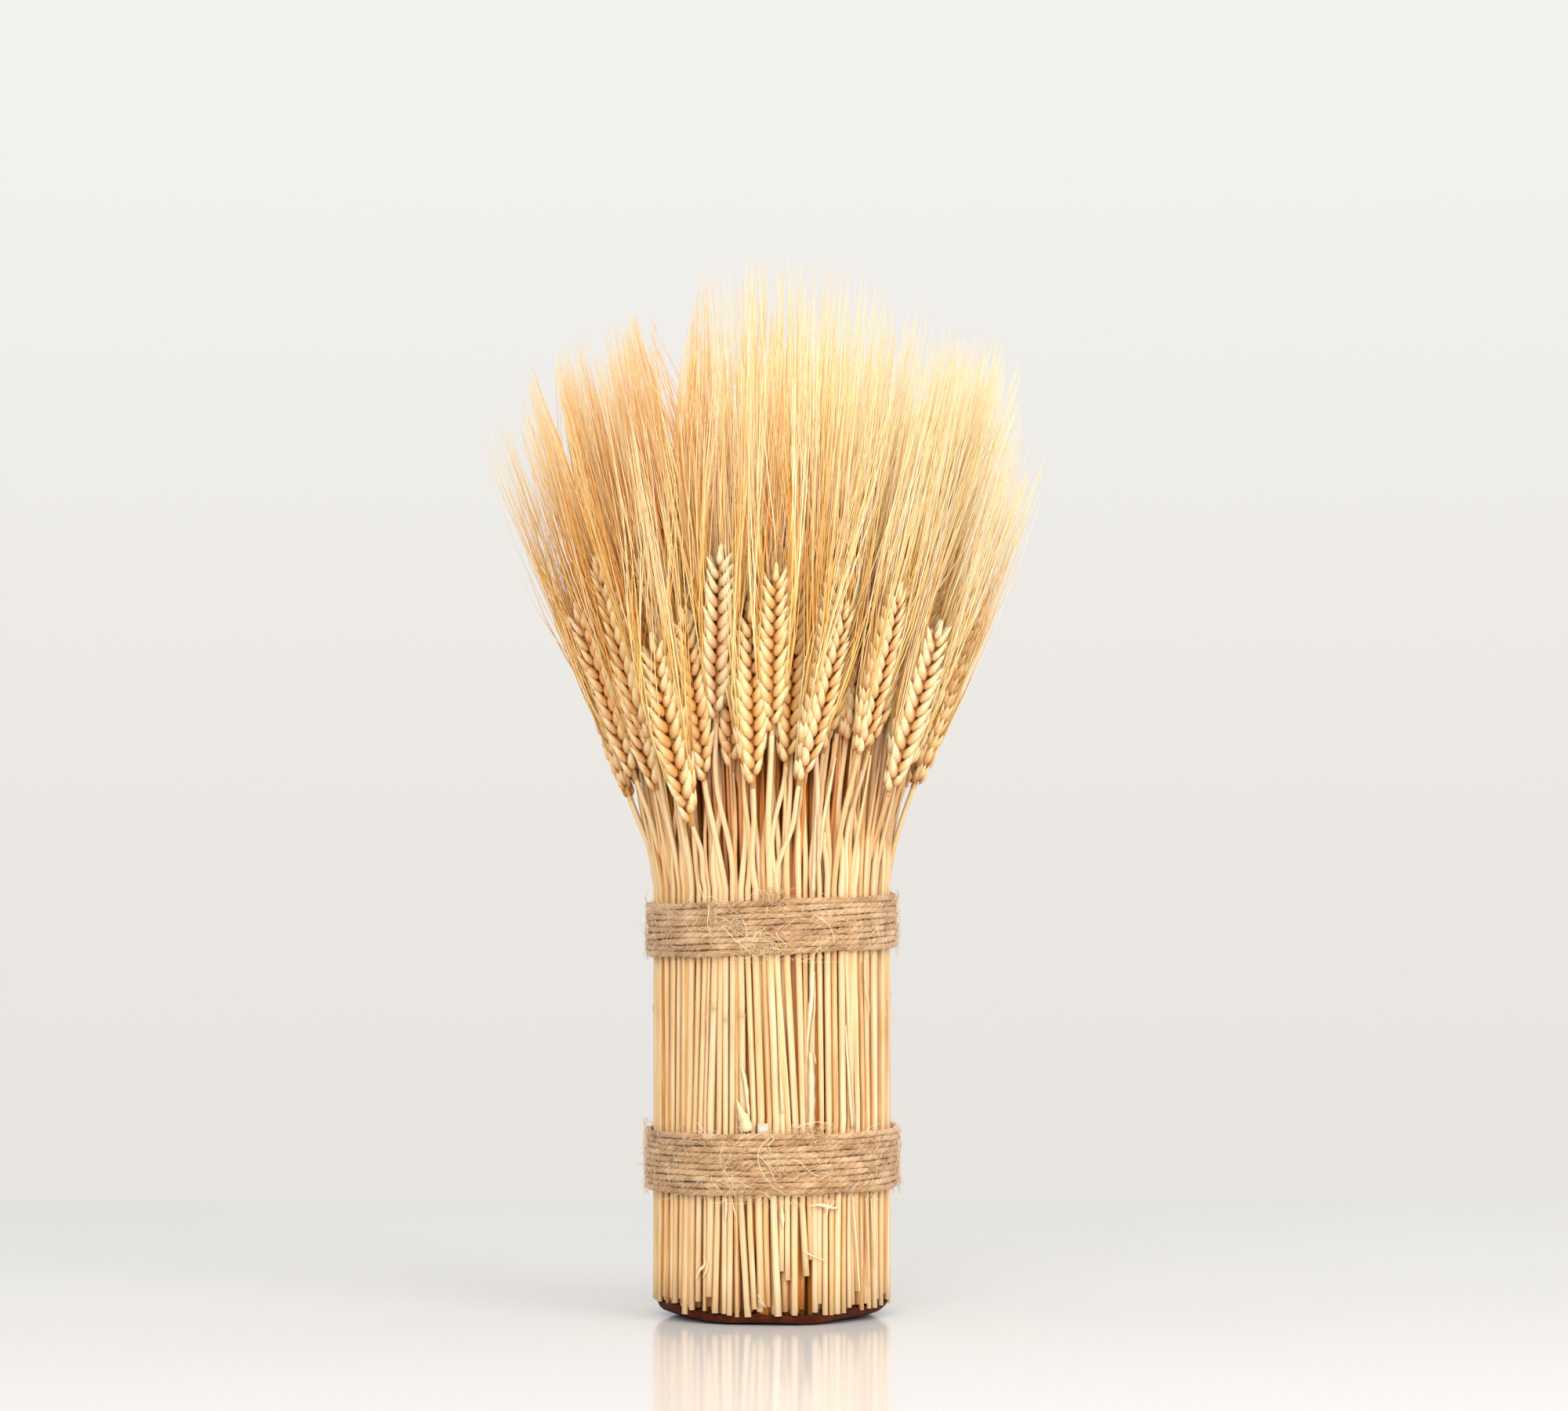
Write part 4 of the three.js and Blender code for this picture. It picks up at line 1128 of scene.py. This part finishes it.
def studio():
    scene = bpy.context.scene
    camera = linked("camera", bpy.data.cameras.new("camera"))
    camera.data.lens = LENS
    camera.data.sensor_width = SENSOR
    camera.location = CAMERA_AT
    camera.rotation_euler = (math.radians(90 + CAMERA_PITCH), 0, 0)
    scene.camera = camera
    scene.view_settings.view_transform = "Standard"

    for name, place, aim, width, height, power, colour in LIGHTS:
        lamp = bpy.data.lights.new(name, "AREA")
        lamp.shape = "RECTANGLE"
        lamp.size, lamp.size_y = width, height
        lamp.energy = power
        lamp.color = colour
        light = linked(name, lamp)
        light.location = place
        way = unit(np.array(aim) - np.array(place))
        light.rotation_euler = (math.acos(-way[2]), 0, math.atan2(-way[0], way[1]))

    # the camera sees a pale wall, with painted shade that darkens it towards the floor, and
    # everything else is lit by an even one
    scene.world = bpy.data.worlds.new("studio")
    w = Nodes(scene.world)
    rise = w.parts(w.add("ShaderNodeTexCoord").outputs["Generated"])[2]
    wall = w.ramp(w.range(rise, -0.05, 0.16), (0.0, (233, 229, 224)), (1.0, (243, 242, 238)))
    seen = w.add("ShaderNodeBackground", {0: wall}).outputs[0]
    lit = w.add("ShaderNodeBackground", {0: srgb((250, 248, 245)), 1: 0.76}).outputs[0]
    ray = w.add("ShaderNodeLightPath").outputs["Is Camera Ray"]
    both = w.add("ShaderNodeMixShader", {0: ray, 1: lit, 2: seen}).outputs[0]
    w.add("ShaderNodeOutputWorld", {0: both})

    mesh = bpy.data.meshes.new("floor")
    left, right = -FLOOR_HALF, FLOOR_HALF
    corners = [(left, left, 0), (right, left, 0), (right, FLOOR_BACK, 0), (left, FLOOR_BACK, 0)]
    mesh.from_pydata(corners, [], [(0, 1, 2, 3)])
    mesh.materials.append(MATERIALS["floor"])
    linked("floor", mesh)


# Pieces
def outer_stems():
    for index in range(OUTER_STEMS):
        shape = Shape()
        outer_stem(shape, index)
        shape.turn(index / OUTER_STEMS * TURN)
        name = f"stem_outer_{index + 1:02d}"
        shape.make(f"wheat_{index + 1:02d}", STEM_MATERIALS, "straw", name)


INNER_RADIUS = 1.5
BUNCH_STALKS = ((36.6, 12), (32.8, 10), (29, 7), (22, 5), (17, 4))  # distance and how many
MIDDLE_STALKS = ((12.6, 14), (6, 7))


def inner_stem(shape, rng, seed, row, start_radius, turn):
    """A stem of a bunch with its ear, turned to its place about the axis of the sheaf."""
    foot, direction, roll = place_of(seed, row)
    start = np.array([0, -start_radius, NECK_HEIGHT])
    first = len(shape.points)
    knots = [(0, 0, start_radius), (NECK_HEIGHT, 0, start_radius)]
    neck = neck_curve(start, foot, direction)
    stalk(shape, rng, COLUMN_FOOT, knots, INNER_RADIUS, 1.0, neck)
    tone, hue = rng.normal(0, 0.3), rng.normal(0, 0.3)
    # painted shade: the awns of these ears, which stand inside the sheaf, are darker
    ear(shape, rng, foot, direction, roll, tone, hue, azimuth=turn, longer=INNER_AWNS, depth=0.8,
        hidden=True)
    shape.turn(turn, first)


def inner_stalks(shape, rng, rows, middle, span):
    """Plain stalks that fill a sector of the column from the pad to the necks."""
    radii = INNER_RADIUS * np.ones((1, 6))
    radii[0, 4:] = 1.3, 0.9
    for radius, count in rows:
        for k in range(count):
            angle = middle + span * ((k + 0.5) / count - 0.5) + rng.uniform(-0.02, 0.02)
            back = radius + rng.uniform(-0.6, 0.6)
            top = rng.uniform(212, 242)
            first = len(shape.points)
            lean = rng.uniform(0, 0.12)
            path = np.array([
                (0, -back, COLUMN_FOOT), (0, -back, 60), (0, -back, 120), (0, -back, NECK_HEIGHT),
                (0, -back - lean * 20, 180), (0, -back - lean * 50, top),
            ])
            look = np.array([[rng.uniform(-1, 0.4), 0, 0]])
            tubes(shape, STRAW, path, radii, 6, look, shift=rng.uniform(0, MOST))
            shape.turn(angle, first)


def inner_bunches():
    span = TURN / BUNCHES
    for index in range(BUNCHES):
        rng = np.random.default_rng(BUNCH_SEED + index)
        shape = Shape()
        for i in range(BUNCH_EARS):
            seed = OUTER_STEMS + index * BUNCH_EARS + i
            turn = span * ((i + 0.5) / BUNCH_EARS - 0.5) + index * span
            inner_stem(shape, rng, seed, INNER_ROW, BUNCH_START, turn)
        inner_stalks(shape, rng, BUNCH_STALKS, index * span, span)
        node = f"stems_inner_{index + 1}"
        shape.make(f"wheat_inner_{index + 1}", INNER_MATERIALS, "inner_straw", node)
    rng = np.random.default_rng(MIDDLE_SEED)
    shape = Shape()
    seed = OUTER_STEMS + BUNCHES * BUNCH_EARS
    inner_stem(shape, rng, seed, CENTRE_EAR, 0, 0)
    for i in range(MIDDLE_EARS):
        turn = i / MIDDLE_EARS * TURN
        inner_stem(shape, rng, seed + 1 + i, MIDDLE_ROW, MIDDLE_START, turn)
    inner_stalks(shape, rng, MIDDLE_STALKS, 0, TURN)
    shape.make("wheat_middle", INNER_MATERIALS, "inner_straw", "stems_middle")


TWINE_SIDES = 9
TWINE_RADIUS = 1.2
TWINE_LAY = 10.0  # length of one full twist
TWINE_STEP = 1.05
PLY_OUTLINE = (0.84, 1.0, 1.0)  # groove, ridge, ridge for each ply
JUTE, HAIR = 0, 1  # places in a band's list of materials
STRAND_POINTS = 7
LONG_FIBRE_POINTS = 12
BAND_START = 2.7  # the azimuth at which the twine of a band starts


def winding(shape, angles, radius, height):
    """Twine wound about the sheaf, from its radius and height at each angle: where it is, and
    which way is outwards."""
    path, out = around(radius, angles, height), around(1, angles, 0)
    steps = np.linalg.norm(np.diff(path, axis=0), axis=1)
    along = np.concatenate([[0], np.cumsum(steps)])
    thickness = TWINE_RADIUS * (1 + 0.07 * np.sin(along / 5.3) + 0.06 * np.sin(along / 2.1 + 1))
    outline = np.tile(PLY_OUTLINE, TWINE_SIDES // len(PLY_OUTLINE))
    radii = thickness[:, None] * outline
    look = np.zeros((1, len(path), 3))
    look[0, :, 0] = 0.5 * np.sin(along / 37) + 0.5 * np.sin(along / 11.3)
    twist = -along[None] / TWINE_LAY * TURN
    tubes(shape, JUTE, path, radii[None], TWINE_SIDES, look, normals=out[None], spin=twist)
    return path, out


def hairs(shape, rng, paths, thick, thin, tone, darkest):
    """Fibres along `paths` that taper from one radius to the other."""
    count, points = paths.shape[:2]
    radii = np.linspace(thick, thin, points)[None] * rng.uniform(0.7, 1.2, (count, 1))
    look = np.zeros((count, 3))
    look[:, 0] = tone + rng.uniform(darkest, 1, count)
    tubes(shape, HAIR, paths, radii, 3, look, shift=rng.uniform(0, MOST, count))


def fuzz(shape, rng, path, out, count, shortest, longest):
    """Short fibres that stand out of the twine along `path`."""
    pick = rng.integers(2, len(path) - 2, count)
    aside = rng.uniform(-1.3, 1.3, count)[:, None]
    tangent = unit(path[pick + 1] - path[pick - 1])
    outward = out[pick]
    start = path[pick] + TWINE_RADIUS * 0.9 * (np.cos(aside) * outward + np.sin(aside) * UP)
    length = shortest + (longest - shortest) * rng.uniform(0, 1, count) ** 2.2
    way = unit(
        tangent * rng.normal(0, 1, count)[:, None]
        + outward * rng.uniform(0.1, 0.75, count)[:, None]
        + UP * rng.normal(0, 0.6, count)[:, None]
    )
    bend = rng.normal(0, 0.45, (count, 3)) - outward * 0.35
    at = np.linspace(0, 1, 3)[None, :, None]
    course = way[:, None] * at + bend[:, None] * at**2 * 0.6
    paths = start[:, None] + length[:, None, None] * course
    hairs(shape, rng, paths, 0.08, 0.04, 0.0, -1)


def strands(shape, rng, foot, top, radius, count, shortest, longest, middle=0.0, spread=math.pi,
            lift=0.5, upward=False, tone=0.0):
    """Loose fibres that lie across a band, about the azimuth `middle`."""
    azimuth = middle + rng.uniform(-spread, spread, count)
    height = rng.uniform(foot, top, count)
    heading = rng.normal(0, 0.75, count) + np.where(rng.uniform(size=count) < 0.5, 0, math.pi)
    if upward:
        heading = rng.normal(math.pi / 2, 0.8, count)
    length = shortest + (longest - shortest) * rng.uniform(0, 1, count) ** 1.6
    turn = rng.normal(0, 0.11, count) * length
    at = np.linspace(0, 1, STRAND_POINTS)
    way = heading[:, None] + turn[:, None] * at + 0.3 * np.sin(9 * at + heading[:, None])
    step = length[:, None] / (STRAND_POINTS - 1)
    run = np.cumsum(np.cos(way) * step, axis=1)
    rise = np.cumsum(np.sin(way) * step, axis=1)
    angle = azimuth[:, None] + run / radius
    out = radius + 0.2 + lift * np.abs(rng.normal(0, 1, count))[:, None] * np.sin(math.pi * at)
    z = np.clip(height[:, None] + rise, foot - 2.5, top + 2.5)
    hairs(shape, rng, around(out, angle, z), 0.1, 0.05, tone, -0.8)


# Long fibres that the photo shows on the bands, in its pixels
LONG_FIBRES = {
    "lower": (
        (
            (982, 1452), (970, 1463), (967, 1476), (970, 1490), (978, 1504), (992, 1518),
            (1003, 1525),
        ),
        ((968, 1474), (976, 1482), (984, 1494), (988, 1506), (991, 1516)),
        ((983, 1448), (987, 1452), (981, 1460), (983, 1470)),
        ((1008, 1479), (1019, 1482), (1028, 1491), (1038, 1498), (1050, 1503)),
        ((1016, 1439), (1030, 1433), (1045, 1431), (1062, 1436)),
        ((975, 1521), (980, 1526), (986, 1533)),
        ((890, 1432), (896, 1438), (902, 1447)),
    ),
    "upper": (
        ((905, 1155), (905, 1168), (904, 1180), (908, 1190)),
        ((921, 1181), (930, 1190), (941, 1201), (955, 1213), (966, 1224)),
        ((975, 1162), (979, 1158), (977, 1168)),
        ((947, 1172), (952, 1182), (954, 1195)),
        ((989, 1187), (993, 1196), (1001, 1203), (1010, 1206)),
        ((893, 1128), (897, 1138), (899, 1150)),
        ((960, 1200), (966, 1190), (976, 1184)),
        ((1040, 1168), (1052, 1176), (1061, 1190), (1064, 1205)),
    ),
}


def long_fibres(shape, rng, name, radius):
    """The fibres of LONG_FIBRES on one band."""
    for line in LONG_FIBRES[name]:
        places = np.array([at_pixel(x, y, radius) for x, y in line])
        flat = np.stack([places[:, 0] * radius, places[:, 1]], -1)
        along, z = curve(flat, LONG_FIBRE_POINTS).T
        arch = 0.5 * np.sin(np.linspace(0, math.pi, LONG_FIBRE_POINTS))
        points = around(radius + 0.3 + arch + rng.uniform(0, 0.2), along / radius, z)
        radii = np.linspace(0.15, 0.08, LONG_FIBRE_POINTS)[None]
        tubes(shape, HAIR, points, radii, 4, (1.0, 0, 0))


def twine_bands():
    bands = (  # name, foot, radius, turns, tilt and seed
        ("lower", LOWER_BAND_FOOT, 46.7, 10.0, 0.0, 4000),
        ("upper", UPPER_BAND_FOOT, 46.2, 9.0, 1.3, 5000),
    )
    for name, foot, radius, turns, tilt, seed in bands:
        rng = np.random.default_rng(seed)
        shape = Shape()
        count = int(turns * TURN * radius / TWINE_STEP)
        angles = BAND_START + np.linspace(0, turns * TURN, count)
        done = (angles - BAND_START) / TURN
        height = foot + TWINE * (0.5 + done * (turns - 1) / turns)
        height = height + 0.22 * np.sin(3.13 * angles) + 0.16 * np.sin(7.31 * angles + 1)
        height = height + tilt * np.sin(angles)
        wander = 0.2 * np.sin(2.37 * angles + 2) + 0.14 * np.sin(5.9 * angles)
        ends = np.clip(np.minimum(done, turns - done) / 0.06, 0, 1)
        path, out = winding(shape, angles, radius + wander - 1.2 * (1 - ends), height)
        top = foot + TWINE * turns
        skin = radius + TWINE_RADIUS
        fuzz(shape, rng, path, out, 1900, 0.8, 4.5)
        strands(shape, rng, foot + 1, top - 1, skin, 540, 3, 17)
        strands(shape, rng, foot + 1, top - 1, skin, 110, 4, 20, 0.0, 0.5, 0.7)
        if name == "lower":
            strands(shape, rng, top - 3, top, skin - 0.8, 70, 3, 9, 0.3, 0.16, 0.8, True)
            strands(shape, rng, foot, foot + 4, skin, 50, 4, 12, -0.1, 0.3, 0.7)
        else:
            strands(shape, rng, top - 4, top + 1, skin, 90, 2, 8, 0.03, 0.1, 0.9, True, -0.5)
            strands(shape, rng, foot, foot + 3, skin, 60, 3, 10, -0.05, 0.15, 0.8, True)
        long_fibres(shape, rng, name, skin)
        shape.make(f"twine_{name}", ("twine", "hair"), "jute_twine", f"twine_band_{name}")


TAPE_RADIUS = 45.3
TAPE_STEPS = 120
TAPE_PROFILE = ((45.2, 50.5), (45.5, 50.5), (45.5, 68.5), (45.2, 68.5))  # distance and height
TAB_PLACE = -3.2  # how far aside the tab stands, where the tape shows above the band
TAB_THICKNESS = 0.35


def binding_tape():
    shape = Shape()
    angles = np.linspace(0, TURN, TAPE_STEPS + 1)[:-1]
    points = np.array([
        (r * math.sin(a), -r * math.cos(a), z) for a in angles for r, z in TAPE_PROFILE
    ])[None]
    corners = len(TAPE_PROFILE)
    quads = lattice(TAPE_STEPS, corners, rows_closed=True, columns_closed=True)[:, FLIPPED]
    shape.add(0, points, points, 0, quads)
    columns, rows = np.linspace(-2.1, 2.1, 6), np.linspace(52, 74.7, 8)
    front = np.array([
        (TAB_PLACE + x, -TAPE_RADIUS - 0.2 + 0.004 * x * x, z) for z in rows for x in columns
    ])
    points = np.concatenate([front, front + np.array([0, TAB_THICKNESS, 0])])[None]
    wide, tall, size = len(columns), len(rows), len(front)
    face = lattice(tall, wide)
    rim = np.array([
        *range(wide), *(k * wide + wide - 1 for k in range(1, tall)),
        *(size - 1 - k for k in range(1, wide)), *(k * wide for k in range(tall - 2, 0, -1)),
    ])
    after = np.roll(rim, -1)
    edge = np.stack([rim, rim + size, after + size, after], -1)
    shape.add(0, points, points, 0, np.concatenate([face, face[:, ::-1] + size, edge]))
    shape.make("tape", ("tape",), "tape", "binding_tape")


PAD_STATIONS = (  # distance from the rim inwards, height
    (43.6, 0.0), (30, 0.0), (18, 0.0), (13, 0.0), (9, 0.0), (5, 0.02), (1.6, 0.1), (0.5, 0.5),
    (0.0, 1.2), (0.05, 1.9), (0.5, 2.6), (1.5, 2.95), (5, 3.0), (9, 3.0), (13, 3.0), (18, 3.0),
    (30, 3.0), (43.6, 3.0),
)
PAD_SPOKES = 220
PAD_WAVES = 1.2  # how far the rim rises in waves


def felt_pad():
    rng = np.random.default_rng(PAD_SEED)
    angles = np.arange(PAD_SPOKES) / PAD_SPOKES * TURN
    wave = 0.7 * (0.6 * np.sin(5 * angles + 1) + 0.4 * np.sin(9 * angles))
    wave = wave + 0.12 * np.sin(31 * angles)
    rough = rng.normal(0, 0.07, (PAD_SPOKES, len(PAD_STATIONS)))
    curl_share = np.abs(np.cos(angles)) ** 2.5
    points = []
    for station, (inward, z) in enumerate(PAD_STATIONS):
        radius = PAD_RADIUS - inward + (wave + rough[:, station]) * (inward < 6)
        radius = np.maximum(radius, 0.02)
        curl = np.clip((radius - 30) / 13.6, 0, 1.2) ** 2 * (SIDE_LIFT * curl_share + 0.25)
        height = z + curl + rough[:, station] * (z > 0.3)
        height += PAD_WAVES * np.clip((radius - 36) / 7, 0, 1) * (1 + np.sin(7 * angles + 0.6)) / 2
        points.append(np.stack([radius * np.cos(angles), radius * np.sin(angles), height], -1))
    points = np.stack(points, 1).reshape(1, -1, 3)
    quads = lattice(PAD_SPOKES, len(PAD_STATIONS), rows_closed=True)[:, FLIPPED]
    shape = Shape()
    shape.add(0, points, points, 0, quads)
    pad = shape.make("felt", ("felt",), "felt", "felt_pad")


studio()
felt_pad()
binding_tape()
twine_bands()
outer_stems()
inner_bunches()
